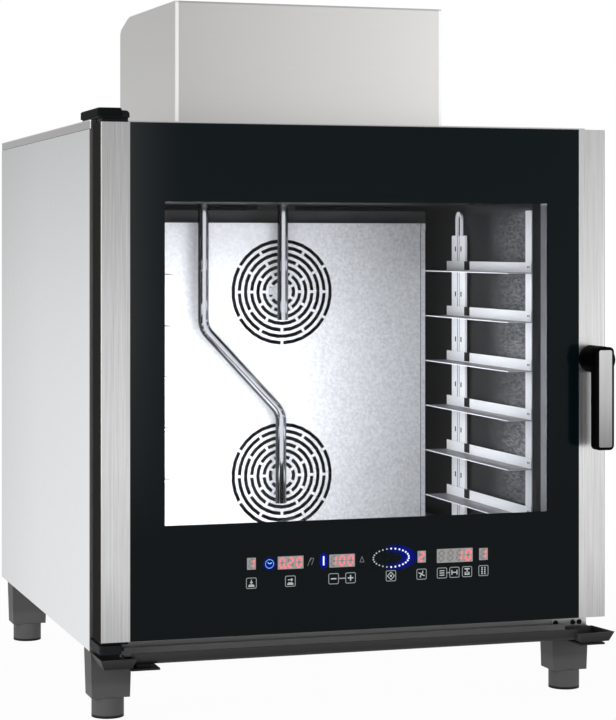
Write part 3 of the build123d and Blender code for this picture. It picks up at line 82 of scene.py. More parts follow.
class NodeTree:
    """A node tree, with short calls that add nodes to it."""

    def __init__(self, tree):
        self.nodes = tree.nodes
        self.links = tree.links

    def fill(self, socket, value):
        """Links a socket into another one, or writes a value there."""
        if isinstance(value, bpy.types.NodeSocket):
            self.links.new(value, socket)
        else:
            socket.default_value = value

    def node(self, kind, **inputs):
        """Adds a node and fills its inputs, called by their names or, after a _, by their numbers."""
        node = self.nodes.new(kind)
        for key, value in inputs.items():
            number = key[1:]
            self.fill(node.inputs[int(number) if number.isdigit() else key.replace("_", " ")], value)
        return node

    def axis(self, name, kind="Object"):
        """One coordinate of the place on the piece in metres, or of its Normal or another kind."""
        coords = self.nodes.new("ShaderNodeTexCoord")
        return self.node("ShaderNodeSeparateXYZ", Vector=coords.outputs[kind]).outputs[name]

    def place(self, stretch):
        """Position on the piece, stretched by a number for each axis."""
        coords = self.nodes.new("ShaderNodeTexCoord")
        return self.node("ShaderNodeMapping", Vector=coords.outputs["Object"], Scale=stretch).outputs[0]

    def noise(self, scale, detail=3.0, rough=0.55, stretch=(1, 1, 1)):
        """Noise value from 0 to 1, finer along an axis with a larger stretch."""
        node = self.node("ShaderNodeTexNoise", Vector=self.place(stretch), Scale=scale,
                         Detail=detail, Roughness=rough)
        return node.outputs["Fac"]

    def spread(self, value, start, end, low=0.0, high=1.0):
        """Maps part of a value's range onto another range."""
        node = self.node("ShaderNodeMapRange", Value=value, From_Min=start, From_Max=end,
                         To_Min=low, To_Max=high)
        return node.outputs["Result"]

    def ramp(self, value, low, high):
        """Maps a 0 to 1 value onto a range."""
        return self.spread(value, 0.0, 1.0, low, high)

    def math(self, how, first, second=0.0):
        """One arithmetic step."""
        node = self.node("ShaderNodeMath", _0=first, _1=second)
        node.operation = how
        return node.outputs[0]

    def times(self, first, *others):
        """Product of several values."""
        for other in others:
            first = self.math("MULTIPLY", first, other)
        return first

    def off(self, value, middle):
        """How far a value is from a middle, on either side."""
        return self.math("ABSOLUTE", self.math("SUBTRACT", value, middle))

    def mix(self, share, first, second):
        """Mixes two colours by a share of the second."""
        node = self.nodes.new("ShaderNodeMix")
        node.data_type = "RGBA"
        for number, value in ((0, share), (6, first), (7, second)):
            self.fill(node.inputs[number], value)
        return node.outputs[2]

    def blend(self, share, first, second):
        """Mixes two shaders by a share of the second."""
        return self.node("ShaderNodeMixShader", _0=share, _1=first, _2=second).outputs[0]

    def toned(self, colour, tones, axis="Z"):
        """Multiplies a colour by a brightness that runs between named places along an axis."""
        brightness = self.nodes.new("ShaderNodeValToRGB")
        low, high = tones[0][0], tones[-1][0]
        stops = brightness.color_ramp.elements
        while len(stops) < len(tones):
            stops.new(0.5)
        for stop, (place, share) in zip(stops, tones):
            stop.position = (place - low) / (high - low)
            stop.color = (share, share, share, 1.0)
        zero = {"X": MIDDLE_X, "Y": DOOR_FRONT_Y, "Z": 0.0}[axis]
        along = self.spread(self.axis(axis), zero + low * MM, zero + high * MM)
        self.links.new(along, brightness.inputs["Fac"])
        both = self.mix(1.0, colour, brightness.outputs["Color"])
        both.node.blend_type = "MULTIPLY"
        return both

    def rays(self, *kinds):
        """One for the named kinds of rays, else zero."""
        path = self.nodes.new("ShaderNodeLightPath")
        share = path.outputs[kinds[0]]
        for kind in kinds[1:]:
            share = self.math("MAXIMUM", share, path.outputs[kind])
        return share


class Shader(NodeTree):
    """A material with its Principled shader."""

    def __init__(self, name):
        self.material = bpy.data.materials.new(name)
        self.material.use_nodes = True
        super().__init__(self.material.node_tree)
        self.surface = self.nodes["Principled BSDF"]

    def set(self, **values):
        """Sets sockets of the Principled shader by name, with _ for a space."""
        for key, value in values.items():
            self.surface.inputs[key.replace("_", " ")].default_value = value

    def link(self, socket, name):
        """Links a socket to a Principled input."""
        self.links.new(socket, self.surface.inputs[name])

    def bump(self, height, strength, distance):
        """Feeds a height into the shader's normal, and returns the finished material."""
        node = self.node("ShaderNodeBump", Height=height, Strength=strength, Distance=distance)
        self.link(node.outputs["Normal"], "Normal")
        return self.material

    def show(self, surface):
        """Shows another surface in place of the Principled one, and returns the finished material."""
        self.links.new(surface, self.nodes["Material Output"].inputs["Surface"])
        return self.material


def grey(value, warm=0.0):
    """Grey colour, warmer above zero and cooler below."""
    return (value * (1 + warm), value, value * (1 - warm), 1.0)


def scaled(colour, share):
    """Colour made darker or lighter, up to white."""
    return tuple(min(1.0, c * share) for c in colour[:3]) + (1.0,)


# Painted light and shade: where a piece's colour is made lighter or darker for the light that falls on it.
# Tones are pairs of a place and a share of the brightness there.

DOOR_HALF = in_mm(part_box("right_door_profile")[1])[0]
SIDE_SKIN = 1.8
SIDE_DARK = (0.029, 0.027, 0.025, 1)
SIDE_DEPTH_TONES = ((0, 1.08), (500, 1.0), (880, 0.84))
FLUE_HALF = in_mm(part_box("flue_box_sides")[1])[0]
FLUE_TONES = ((-241, 0.95), (-239, 0.95), (-238, 0.87), (0, 1.02), (241, 1.15))
FOLD_WIDTH = 5.0
FOLD_HIGHLIGHT = 0.97
GUTTER_INSIDE = 12.8
GUTTER_NOSE_TOP = 98.5
GUTTER_HALF = 385.0
GUTTER_PALE = 0.42


def far_from_middle(shader, distance):
    """One where the piece lies further from the cabinet's middle than a distance, else zero."""
    return shader.math("GREATER_THAN", shader.off(shader.axis("X"), MIDDLE_X), distance * MM)


def dark_outer_side(shader, shade):
    """Paints shade on the outer side of a door profile, as a dark colour that is not metallic."""
    shader.set(Specular_IOR_Level=0.0)
    side = far_from_middle(shader, DOOR_HALF - SIDE_SKIN)
    shader.link(shader.math("SUBTRACT", 1.0, side), "Metallic")
    return shader.mix(side, shade, SIDE_DARK)


def darker_rear(shader, shade):
    """Paints shade on the side panel, darker toward the back."""
    return shader.toned(shade, SIDE_DEPTH_TONES, "Y")


def bright_fold(shader, shade):
    """Paints light and shade on the flue box, darker toward the left and lighter toward the right, and a
    painted highlight on the upright folds of its front.
    """
    shade = shader.toned(shade, FLUE_TONES, "X")
    edge = far_from_middle(shader, FLUE_HALF - FOLD_WIDTH)
    fold_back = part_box("flue_box")[0].y + FOLD_WIDTH * MM
    front = shader.math("LESS_THAN", shader.axis("Y"), fold_back)
    return shader.mix(shader.times(edge, front), shade, grey(FOLD_HIGHLIGHT))


def pale_gutter(shader, shade):
    """Paints light into the gutter of the drip tray, which lies in the door's shadow."""
    inside = shader.math("GREATER_THAN", shader.axis("Y"), at(0, GUTTER_INSIDE, 0).y)
    above = shader.math("GREATER_THAN", shader.axis("Z"), GUTTER_NOSE_TOP * MM)
    between = shader.math("SUBTRACT", 1.0, far_from_middle(shader, GUTTER_HALF))
    return shader.mix(shader.times(inside, above, between), shade, grey(GUTTER_PALE))


def with_painted_shading(shader, shade, tones, painted_shading):
    """Shade with its painted tones along the height and its painted shading step, where a piece has them.

    Tones are pairs of a height in millimetres and a share of the colour's brightness there.
    The painted shading step is a function that takes the shader and the shade and returns the final shade.
    """
    if tones:
        shade = shader.toned(shade, tones)
    if painted_shading:
        shade = painted_shading(shader, shade)
    return shade


# Metals

def brushed_steel(name, colour, grain, roughness=0.3, contrast=0.1, tones=None, painted_shading=None):
    """Steel with fine lines, whose grain is a number for each axis, small along the brushing."""
    shader = Shader(name)
    shader.set(Metallic=1.0, Anisotropic=0.4)
    fine = shader.noise(1.0, detail=4.0, rough=0.7, stretch=grain)
    broad = shader.noise(3.2, detail=2.0, rough=0.5)
    dark = scaled(colour, 1 - contrast)
    lines = shader.mix(shader.spread(fine, 0.3, 0.7), dark, scaled(colour, 1 + contrast))
    shade = shader.mix(shader.ramp(broad, 0.0, 0.12), lines, dark)
    shader.link(with_painted_shading(shader, shade, tones, painted_shading), "Base Color")
    shader.link(shader.ramp(fine, roughness - 0.08, roughness + 0.08), "Roughness")
    return shader.bump(fine, 0.12, 0.0002)


def cast_metal(name, colour, roughness=0.55):
    """Cast or rolled metal with an uneven skin."""
    shader = Shader(name)
    shader.set(Metallic=0.85)
    skin = shader.noise(240.0, detail=5.0, rough=0.65)
    stain = shader.noise(14.0, detail=4.0, rough=0.6)
    shader.link(shader.mix(shader.spread(stain, 0.35, 0.7), colour, scaled(colour, 0.7)), "Base Color")
    shader.link(shader.ramp(skin, roughness - 0.1, roughness + 0.1), "Roughness")
    return shader.bump(skin, 0.25, 0.0008)


# How far a tube's surface looks back where its bright front ends and where the painted dark reflection on
# its flank starts
TUBE_FRONT = -0.88
TUBE_FLANK = -0.66
FLANK_SHARE = 0.09


def polished_steel(name, colour):
    """Bright tube steel with faint drawing marks, and a painted dark reflection on its flanks."""
    shader = Shader(name)
    shader.set(Metallic=1.0)
    marks = shader.noise(1.0, rough=0.5, stretch=(700, 700, 12))
    face = shader.mix(marks, scaled(colour, 0.7), colour)
    flank = shader.spread(shader.axis("Y", "Normal"), TUBE_FRONT, TUBE_FLANK)
    shader.link(shader.mix(flank, face, scaled(colour, FLANK_SHARE)), "Base Color")
    shader.link(shader.ramp(marks, 0.03, 0.09), "Roughness")
    return shader.bump(marks, 0.02, 0.0002)


def cavity_steel(name, colour, roughness=0.38, speckle=0.1, tones=None):
    """Matt rolled stainless with a speckled surface."""
    shader = Shader(name)
    shader.set(Metallic=0.75)
    grain = shader.noise(520.0, detail=4.0, rough=0.75)
    cloud = shader.noise(5.0, rough=0.5)
    dark = scaled(colour, 1 - speckle)
    tone = shader.mix(shader.spread(grain, 0.35, 0.65), dark, scaled(colour, 1 + speckle / 2))
    shade = shader.mix(shader.ramp(cloud, 0.0, 0.25), tone, dark)
    shader.link(with_painted_shading(shader, shade, tones, None), "Base Color")
    shader.link(shader.ramp(grain, roughness - 0.08, roughness + 0.12), "Roughness")
    return shader.bump(grain, 0.2, 0.0003)


# Cavity lining colours: painted shade on the walls at the back and under the ceiling, painted light toward
# the front and along the floor
WALL_DARK = (grey(0.002), grey(0.022, -0.04))
WALL_PALE = (grey(0.11, -0.04), grey(0.46, -0.04))
FLOOR_BRIGHT = (grey(0.8), grey(0.95, -0.02))
WALL_DARK_FROM = 300.0
WALL_PALE_FROM = 80.0
CEILING_BAND = 24.0
FLOOR_EDGE = 1.0
FLOOR_FADE = 20.0


def speckled_liner_with_painted_light(name):
    """Cavity lining: speckled walls with painted shade at the back and under the ceiling, painted light in
    patches toward the front, and painted light along the floor.
    """
    shader = Shader(name)
    shader.set(Metallic=0.5, Specular_IOR_Level=0.2)
    grain = shader.noise(330.0, detail=2.0, rough=0.6, stretch=(1, 0.28, 1))
    patches = shader.noise(9.0, rough=0.5, stretch=(1, 0.5, 1))
    speckle = shader.spread(grain, 0.36, 0.66)
    dark = shader.mix(speckle, *WALL_DARK)
    pale = shader.mix(speckle, *WALL_PALE)
    bright = shader.mix(grain, *FLOOR_BRIGHT)
    toward_front = shader.spread(shader.axis("Y"), at(0, WALL_DARK_FROM, 0).y, at(0, WALL_PALE_FROM, 0).y)
    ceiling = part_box("cavity_liner")[1].z
    under_ceiling = shader.spread(shader.axis("Z"), ceiling - CEILING_BAND * MM,
                                  ceiling - CEILING_BAND / 2 * MM, 1.0, 0.0)
    painted_light_share = shader.times(toward_front, shader.spread(patches, 0.3, 0.62, 0.25, 1.0), under_ceiling)
    wall_with_painted_light = shader.mix(painted_light_share, dark, pale)
    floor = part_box("drain_cover")[0].z
    low = shader.spread(shader.axis("Z"), floor + FLOOR_EDGE * MM, floor + FLOOR_FADE * MM, 1.0, 0.0)
    shader.link(shader.mix(low, wall_with_painted_light, bright), "Base Color")
    shader.link(shader.ramp(grain, 0.38, 0.6), "Roughness")
    return shader.bump(grain, 0.3, 0.0004)


# Painted shade on the upward tops of the rack shelves
SHELF_TOP_SHADE = (0.20, 0.20, 0.21, 1.0)
SHELF_FACING = (0.3, 0.8)


def satin_white_steel(name, colour):
    """Blasted steel of the tray racks, almost white in the oven's lamp, with painted shade on the tops of
    its shelves.
    """
    shader = Shader(name)
    shader.set(Metallic=0.25, Specular_IOR_Level=0.6)
    grain = shader.noise(480.0, rough=0.6)
    face = shader.mix(shader.spread(grain, 0.4, 0.7), scaled(colour, 0.9), colour)
    upward = shader.spread(shader.axis("Z", "Normal"), *SHELF_FACING)
    shader.link(shader.mix(upward, face, SHELF_TOP_SHADE), "Base Color")
    shader.link(shader.ramp(grain, 0.34, 0.5), "Roughness")
    return shader.bump(grain, 0.12, 0.0002)


FLANGE_LINE_INSET = 9.0
FLANGE_LINE = 2.0
FLANGE_LINE_COVER = 0.75
FLANGE_LINE_GREY = 0.12
GREYER_FROM = 0.45
GREYER_TO = 0.95
RIGHT_SHADE_SHARE = 0.70
BLOTCH_SHARE = 0.50
TOP_SHADOW_BAND = 160.0


def mottled_steel(name, colour, roughness):
    """Bright panel in front of the fans with blotches that grow stronger to the right, and painted shade
    that darkens it to the right and under its top.
    """
    shader = Shader(name)
    shader.set(Metallic=0.6)
    grain = shader.noise(190.0, rough=0.7)
    cloud = shader.noise(26.0, detail=4.0, rough=0.7)
    low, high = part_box("fan_deflector")
    width = high.x - low.x
    # Painted shade: darker to the right, and a painted shadow of the ceiling under the top; the blotches
    # also grow stronger to the right
    aside = shader.spread(shader.axis("X"), low.x + width * GREYER_FROM, low.x + width * GREYER_TO)
    above = shader.spread(shader.axis("Z"), high.z - TOP_SHADOW_BAND * MM, high.z, 0.0, 0.45)
    dim = shader.math("MAXIMUM", shader.ramp(aside, 0.0, 0.9), above)
    base = shader.mix(dim, colour, scaled(colour, RIGHT_SHADE_SHARE))
    strong = shader.times(shader.ramp(aside, 0.4, 1.0), shader.ramp(cloud, 0.6, 1.0))
    blotch = shader.times(shader.spread(grain, 0.34, 0.66), strong)
    shade = shader.mix(blotch, base, scaled(colour, BLOTCH_SHARE))
    # Painted shade: a grey line along the fold of the right flange
    off_fold = shader.off(shader.axis("X"), high.x - FLANGE_LINE_INSET * MM)
    fold = shader.times(shader.math("LESS_THAN", off_fold, FLANGE_LINE / 2 * MM), FLANGE_LINE_COVER)
    shader.link(shader.mix(fold, shade, grey(FLANGE_LINE_GREY)), "Base Color")
    shader.link(shader.ramp(grain, roughness - 0.08, roughness + 0.08), "Roughness")
    return shader.bump(grain, 0.15, 0.0003)


# Plastic, wool, board and glass

def moulded(name, colour, roughness=0.6, grain=900.0, bump=0.08, gloss=0.2, tones=None, painted_shading=None):
    """Moulded plastic or rubber with a fine grained skin and faint uneven gloss."""
    shader = Shader(name)
    shader.set(Specular_IOR_Level=gloss)
    fine = shader.noise(grain)
    broad = shader.noise(9.0)
    shade = shader.mix(broad, scaled(colour, 0.86), scaled(colour, 1.12))
    shader.link(with_painted_shading(shader, shade, tones, painted_shading), "Base Color")
    shader.link(shader.ramp(broad, roughness - 0.06, roughness + 0.06), "Roughness")
    return shader.bump(fine, bump, 0.0003)


def wool(name, colour):
    """Pressed mineral wool: fibres over soft lumps."""
    shader = Shader(name)
    shader.set(Roughness=0.95, Sheen_Weight=0.2)
    fibres = shader.noise(1.0, detail=6.0, rough=0.8, stretch=(600, 120, 600))
    shader.link(shader.mix(shader.spread(fibres, 0.3, 0.7), scaled(colour, 0.6), colour), "Base Color")
    return shader.bump(fibres, 0.6, 0.002)


BOARD_DARK = (0.02, 0.16, 0.07, 1)
BOARD_PALE = (0.03, 0.20, 0.09, 1)
BOARD_TRACKS = (0.05, 0.28, 0.12, 1)


def board_green(name):
    """Solder mask with copper tracks under it."""
    shader = Shader(name)
    shader.set(Roughness=0.4, Specular_IOR_Level=0.5)
    tracks = shader.node("ShaderNodeTexBrick", Vector=shader.place((90, 90, 90)), Color1=BOARD_DARK,
                         Color2=BOARD_PALE, Mortar=BOARD_TRACKS)
    shader.link(tracks.outputs["Color"], "Base Color")
    return shader.bump(shader.noise(700.0), 0.1, 0.0002)


PANE_TINT = (0.985, 0.987, 0.995, 1)
PANE_GLOSS = 0.1
GLASS_IOR = 1.45


def clear_glass(shader):
    """See-through sheet: tinted light straight through, and a mirror that grows at low angles."""
    through = shader.node("ShaderNodeBsdfTransparent", Color=PANE_TINT)
    mirror = shader.node("ShaderNodeBsdfGlossy", Color=WHITE, Roughness=0.02)
    edge = shader.node("ShaderNodeFresnel", IOR=GLASS_IOR)
    return shader.blend(shader.times(edge.outputs[0], PANE_GLOSS), through.outputs[0], mirror.outputs[0])


def clear_pane(name):
    """Inner pane: plain clear glass."""
    shader = Shader(name)
    return shader.show(clear_glass(shader))


def window_mask(shader):
    """One inside the clear window of the printed pane, zero on the print."""
    middle = at(0, 0, (WINDOW_BOTTOM + WINDOW_TOP) / 2)
    across = shader.off(shader.axis("X"), middle.x)
    upright = shader.off(shader.axis("Z"), middle.z)
    return shader.times(shader.math("LESS_THAN", across, WINDOW_HALF * MM),
                        shader.math("LESS_THAN", upright, (WINDOW_TOP - WINDOW_BOTTOM) / 2 * MM))


PRINT_DARK = (0.0024, 0.0062, 0.0082, 1)
PRINT_PALE = (0.0040, 0.0088, 0.0110, 1)
PRINT_SHEEN = (0.028, 0.031, 0.033, 1)
PANE_TONES = ((130, 0.65), (320, 0.65), (450, 1.0), (950, 1.0))
SHEEN_WIDTH = 100.0
SHEEN_LOW = 280.0
SHEEN_HIGH = 640.0


def printed_pane(name):
    """Outer pane: dark print all round a clear window, darker toward the bottom, with a painted sheen at
    its left.
    """
    shader = Shader(name)
    shader.set(Roughness=0.12, Specular_IOR_Level=0.085)
    haze = shader.noise(2.0, detail=2.0)
    print_colour = shader.toned(shader.mix(haze, PRINT_DARK, PRINT_PALE), PANE_TONES)
    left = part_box("door_glass")[0].x
    beside = shader.spread(shader.axis("X"), left, left + SHEEN_WIDTH * MM, 1.0, 0.0)
    above = shader.spread(shader.axis("Z"), SHEEN_LOW * MM, SHEEN_HIGH * MM)
    sheen = shader.times(beside, beside, above)
    shader.link(shader.mix(sheen, print_colour, PRINT_SHEEN), "Base Color")
    return shader.show(shader.blend(window_mask(shader), shader.surface.outputs[0], clear_glass(shader)))


UNLIT_SHARE = 0.2


def lit(name, colour, strength):
    """Backlit print or lamp."""
    shader = Shader(name)
    shader.set(Roughness=0.5, Emission_Strength=strength, Base_Color=scaled(colour, UNLIT_SHARE))
    spots = shader.ramp(shader.noise(1200.0, detail=2.0), 0.0, 0.25)
    shader.link(shader.mix(spots, scaled(colour, 1.0), scaled(colour, 0.8)), "Emission Color")
    return shader.material


# Materials of the slots, and of the nodes whose look in the photograph differs from their slot's

STEEL_ACROSS = 2600.0
STEEL_ALONG = 14.0
UPRIGHT_GRAIN = (STEEL_ACROSS, STEEL_ACROSS, STEEL_ALONG)
LEVEL_GRAIN = (STEEL_ALONG, STEEL_ALONG, STEEL_ACROSS)
EDGE_GRAIN = (620.0, 620.0, 7.0)
# Painted shade on the side panel, darker toward the top
SIDE_TONES = ((107, 1.02), (500, 0.93), (950, 0.72))
# Painted shade on the front edge of the top cover, darker than its top
COVER_TONES = ((900, 0.60), (948, 0.60), (949, 1.0), (960, 1.0))
# Painted shade on the front frame, darker toward the bottom
FRAME_TONES = ((107, 0.82), (500, 0.88), (800, 1.0), (950, 1.0))
# Painted light and shade on the door edge strips, lightest in the middle of their height
EDGE_TONES = ((133, 0.78), (240, 1.04), (420, 1.13), (620, 1.04), (780, 0.86), (943, 0.74))
# Painted light and shade on the handle insert, dark at the bottom and light at the top
INSERT_TONES = ((415, 0.50), (500, 0.95), (584, 1.2))
# Painted shade on the drip tray, darker toward the bottom
TRAY_TONES = ((84, 0.28), (93, 0.32), (104, 0.9), (110, 1.1), (140, 1.1))
# Feet: near black in the lowest 3.5 mm, and a painted highlight that makes them lighter from 5 to 50 mm up
FOOT_TONES = ((0, 0.1), (3.5, 0.1), (5.0, 1.3), (50, 1.3), (60, 1.05), (110, 1.05))
# Painted highlight at the top of the spacer between the panes
SPACER_TONES = ((311, 1.0), (816, 1.0), (819, 2.4), (832, 2.4))

slot_materials = {
    "brushed_stainless": brushed_steel("brushed_stainless", grey(0.60), UPRIGHT_GRAIN),
    "cavity_stainless": cavity_steel("cavity_stainless", grey(0.72, -0.02)),
    "bright_pipe": polished_steel("bright_pipe", grey(0.95, -0.02)),
    "burner_metal": cast_metal("burner_metal", grey(0.30)),
    "cast_motor": cast_metal("cast_motor", (0.10, 0.11, 0.13, 1)),
    "cast_light_alloy": cast_metal("cast_light_alloy", grey(0.50), 0.45),
    "bar_light_alloy": cavity_steel("bar_light_alloy", (0.36, 0.36, 0.39, 1), 0.5, 0.25, SPACER_TONES),
    "black_moulding": moulded("black_moulding", (0.011, 0.013, 0.014, 1), gloss=0.1),
    "dark_grey_moulding": moulded("dark_grey_moulding", grey(0.036), 0.5),
    "foot_grey": moulded("foot_grey", grey(0.100), grain=700.0, tones=FOOT_TONES),
    "outer_pane": printed_pane("outer_pane"),
    "inner_pane": clear_pane("inner_pane"),
    "seal_rubber": moulded("seal_rubber", grey(0.012), grain=1500.0, bump=0.15),
    "mineral_wool": wool("mineral_wool", (0.42, 0.37, 0.20, 1)),
    "circuit_board": board_green("circuit_board"),
    "brass_fitting": cast_metal("brass_fitting", (0.60, 0.42, 0.17, 1), 0.35),
}
node_materials = {
    "fan_deflector": mottled_steel("deflector_steel", grey(0.97, -0.02), 0.5),
    "cavity_liner": speckled_liner_with_painted_light("liner_speckle_and_painted_light"),
    "lower_fan_wheel": cast_metal("wheel_steel", grey(0.06), 0.5),
    "left_side_panel": brushed_steel("side_steel", grey(0.74, -0.015), UPRIGHT_GRAIN, 0.26, 0.03,
                                     tones=SIDE_TONES, painted_shading=darker_rear),
    "front_frame": brushed_steel("frame_steel", grey(0.60), UPRIGHT_GRAIN, tones=FRAME_TONES),
    "top_cover": brushed_steel("cover_steel", grey(0.60), UPRIGHT_GRAIN, tones=COVER_TONES),
    "top_hinge_cap": moulded("cap_black", (0.007, 0.0088, 0.0085, 1), 0.7, gloss=0.03),
    "handle_lever": moulded("lever_black", grey(0.0012), gloss=0.025),
    "drip_tray": moulded("tray_grey", grey(0.038), 0.5, tones=TRAY_TONES, painted_shading=pale_gutter),
    "right_side_panel": slot_materials["brushed_stainless"],
    "left_door_profile": brushed_steel("edge_steel", grey(0.60), EDGE_GRAIN, contrast=0.16,
                                       tones=EDGE_TONES, painted_shading=dark_outer_side),
    "flue_box": brushed_steel("flue_steel", grey(0.64, 0.01), LEVEL_GRAIN, 0.38, 0.03, painted_shading=bright_fold),
    "handle_insert": brushed_steel("insert_steel", grey(0.46), EDGE_GRAIN, contrast=0.12,
                                   tones=INSERT_TONES),
    # The heat exchanger gets a plain dark grey steel
    "heat_exchanger": cast_metal("dark_exchanger_steel", grey(0.11), 0.5),
    "top_hinge_arm": slot_materials["black_moulding"],
    "hinge_bearings": slot_materials["black_moulding"],
    "right_rack_rails": satin_white_steel("rack_steel", grey(0.90, -0.02)),
}
RACK_NODES = ("right_rack_rails", "left_rack_rails", "right_rack_posts", "left_rack_posts")
TWINS = {
    "flue_box": ("flue_box_sides",),
    "left_door_profile": ("right_door_profile",),
    "lower_fan_wheel": ("upper_fan_wheel", "flue_duct"),
    "right_rack_rails": RACK_NODES[1:],
}
for model, others in TWINS.items():
    for other in others:
        node_materials[other] = node_materials[model]

for entry in frame["record"]["subparts"]:
    node = entry["node"]
    mesh = nodes[node].data
    mesh.materials.clear()
    mesh.materials.append(node_materials.get(node, slot_materials[entry["material_slot"]]))


# Mesh helpers

CORNER_STEPS = 5


def new_piece(name, mesh, material, body):
    """Makes an object from a bmesh, with its material and body."""
    data = bpy.data.meshes.new(name)
    bmesh.ops.recalc_face_normals(mesh, faces=mesh.faces)
    mesh.to_mesh(data)
    mesh.free()
    data.materials.append(material)
    piece = bpy.data.objects.new(name, data)
    bpy.context.scene.collection.objects.link(piece)
    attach(piece, body)


def join_rows(mesh, near, far):
    """Adds the faces between two closed rows of corners."""
    for i in range(len(near)):
        j = (i + 1) % len(near)
        mesh.faces.new((near[i], near[j], far[j], far[i]))


def add_slab(mesh, near, far):
    """Adds a solid between two faces, given by equal numbers of points."""
    near = [mesh.verts.new(point) for point in near]
    far = [mesh.verts.new(point) for point in far]
    mesh.faces.new(near)
    mesh.faces.new(list(reversed(far)))
    join_rows(mesh, far, near)


def add_prism(mesh, outline, front, back):
    """Adds a flat outline of (x, z) points as a thin solid between two depths behind the door front."""
    add_slab(mesh, [at(x, front, z) for x, z in outline], [at(x, back, z) for x, z in outline])


def add_ring(mesh, outer, inner, front, back):
    """Adds a closed band between two outlines with equal numbers of points."""
    rows = [[mesh.verts.new(at(x, y, z)) for x, z in outline]
            for outline, y in ((outer, front), (inner, front), (inner, back), (outer, back))]
    for near, far in zip(rows, rows[1:] + rows[:1]):
        join_rows(mesh, near, far)


def rounded_outline(x, z, width, height, radius):
    """Points of a rectangle with round corners about a centre."""
    points = []
    corners = ((1, 1, 0), (-1, 1, 90), (-1, -1, 180), (1, -1, 270))
    for side, level, start in corners:
        cx = x + side * (width / 2 - radius)
        cz = z + level * (height / 2 - radius)
        for k in range(CORNER_STEPS + 1):
            angle = math.radians(start + 90 * k / CORNER_STEPS)
            points.append((cx + radius * math.cos(angle), cz + radius * math.sin(angle)))
    return points


def ellipse_outline(x, z, wide, high, steps):
    """Points of an ellipse with half axes wide and high."""
    angles = [2 * math.pi * k / steps for k in range(steps)]
    return [(x + wide * math.cos(angle), z + high * math.sin(angle)) for angle in angles]


def circle_outline(x, z, radius, steps):
    """Points of a circle."""
    return ellipse_outline(x, z, radius, radius, steps)


def bar_outline(start, end, width):
    """Points of a straight bar between two points."""
    (x0, z0), (x1, z1) = start, end
    length = math.hypot(x1 - x0, z1 - z0)
    nx = -(z1 - z0) / length * width / 2
    nz = (x1 - x0) / length * width / 2
    return [(x0 + nx, z0 + nz), (x0 - nx, z0 - nz), (x1 - nx, z1 - nz), (x1 + nx, z1 + nz)]


# Print on the pane: depths behind the door front

PRINT_BACK = 0.5
GLOW_BACK = 0.49
GLOW_FRONT = 0.46
SIGN_FRONT = 0.42
UNLIT_FRONT = 0.38
DIGIT_FRONT = 0.34


def new_print(name, mesh, material):
    """Makes a piece of print on the pane, which swings with the door."""
    new_piece(name, mesh, material, "door")


def add_bars(mesh, bars, x=0.0, z=0.0, front=SIGN_FRONT):
    """Adds straight bars round a place, each given by its two ends and its width."""
    for x0, z0, x1, z1, width in bars:
        add_prism(mesh, bar_outline((x + x0, z + z0), (x + x1, z + z1), width), front, PRINT_BACK)


def closed_bars(corners, width):
    """Bars along the sides of a closed outline."""
    return tuple((*first, *second, width) for first, second in zip(corners, corners[1:] + corners[:1]))


# Displays: a digit's height is a share of its window's, and its other sizes are shares of its cell

DISPLAY_CORNER = 0.8
DIGIT_LEAN = 0.10
DIGIT_HIGH = 0.72
DIGIT_WIDE = 0.5
DIGIT_STROKE = 0.185
DIGIT_MARGIN = 0.2
POINT_ASIDE = 0.16
POINT_STEPS = 10
GAP_OF_STROKE = 0.42
POINT_OF_STROKE = 0.8

SEGMENTS = {
    "a": ((0, 1), (1, 1)), "b": ((1, 1), (1, 0.5)), "c": ((1, 0.5), (1, 0)), "d": ((0, 0), (1, 0)),
    "e": ((0, 0.5), (0, 0)), "f": ((0, 1), (0, 0.5)), "g": ((0, 0.5), (1, 0.5)),
}
DIGITS = {" ": "", "0": "abcdef", "1": "bc", "2": "abged"}

# Left, right, bottom, top, text, number of cells, and the cell with a point after it
DISPLAYS = (
    (-191.9, -177.4, 237.0, 255.8, "1", 1, None),
    (-141.0, -98.1, 235.3, 255.8, "020", 3, 0),
    (-54.5, -11.3, 234.7, 255.4, "100", 3, None),
    (96.3, 110.7, 236.2, 255.3, "2", 1, None),
    (129.8, 192.4, 234.4, 256.8, "10", 4, None),
    (203.8, 219.0, 235.9, 255.5, "1", 1, None),
)


def add_digit(mesh, segments, x, z, cell, height, front):
    """Adds the chosen segments of one leaning digit whose lower left corner is x, z."""
    width = cell * DIGIT_WIDE
    stroke = cell * DIGIT_STROKE
    gap = stroke * GAP_OF_STROKE
    for key in segments:
        (u0, v0), (u1, v1) = SEGMENTS[key]
        start = Vector((x + u0 * width + v0 * height * DIGIT_LEAN, z + v0 * height))
        end = Vector((x + u1 * width + v1 * height * DIGIT_LEAN, z + v1 * height))
        along = (end - start).normalized() * gap
        add_prism(mesh, bar_outline(start + along, end - along, stroke), front, SIGN_FRONT)


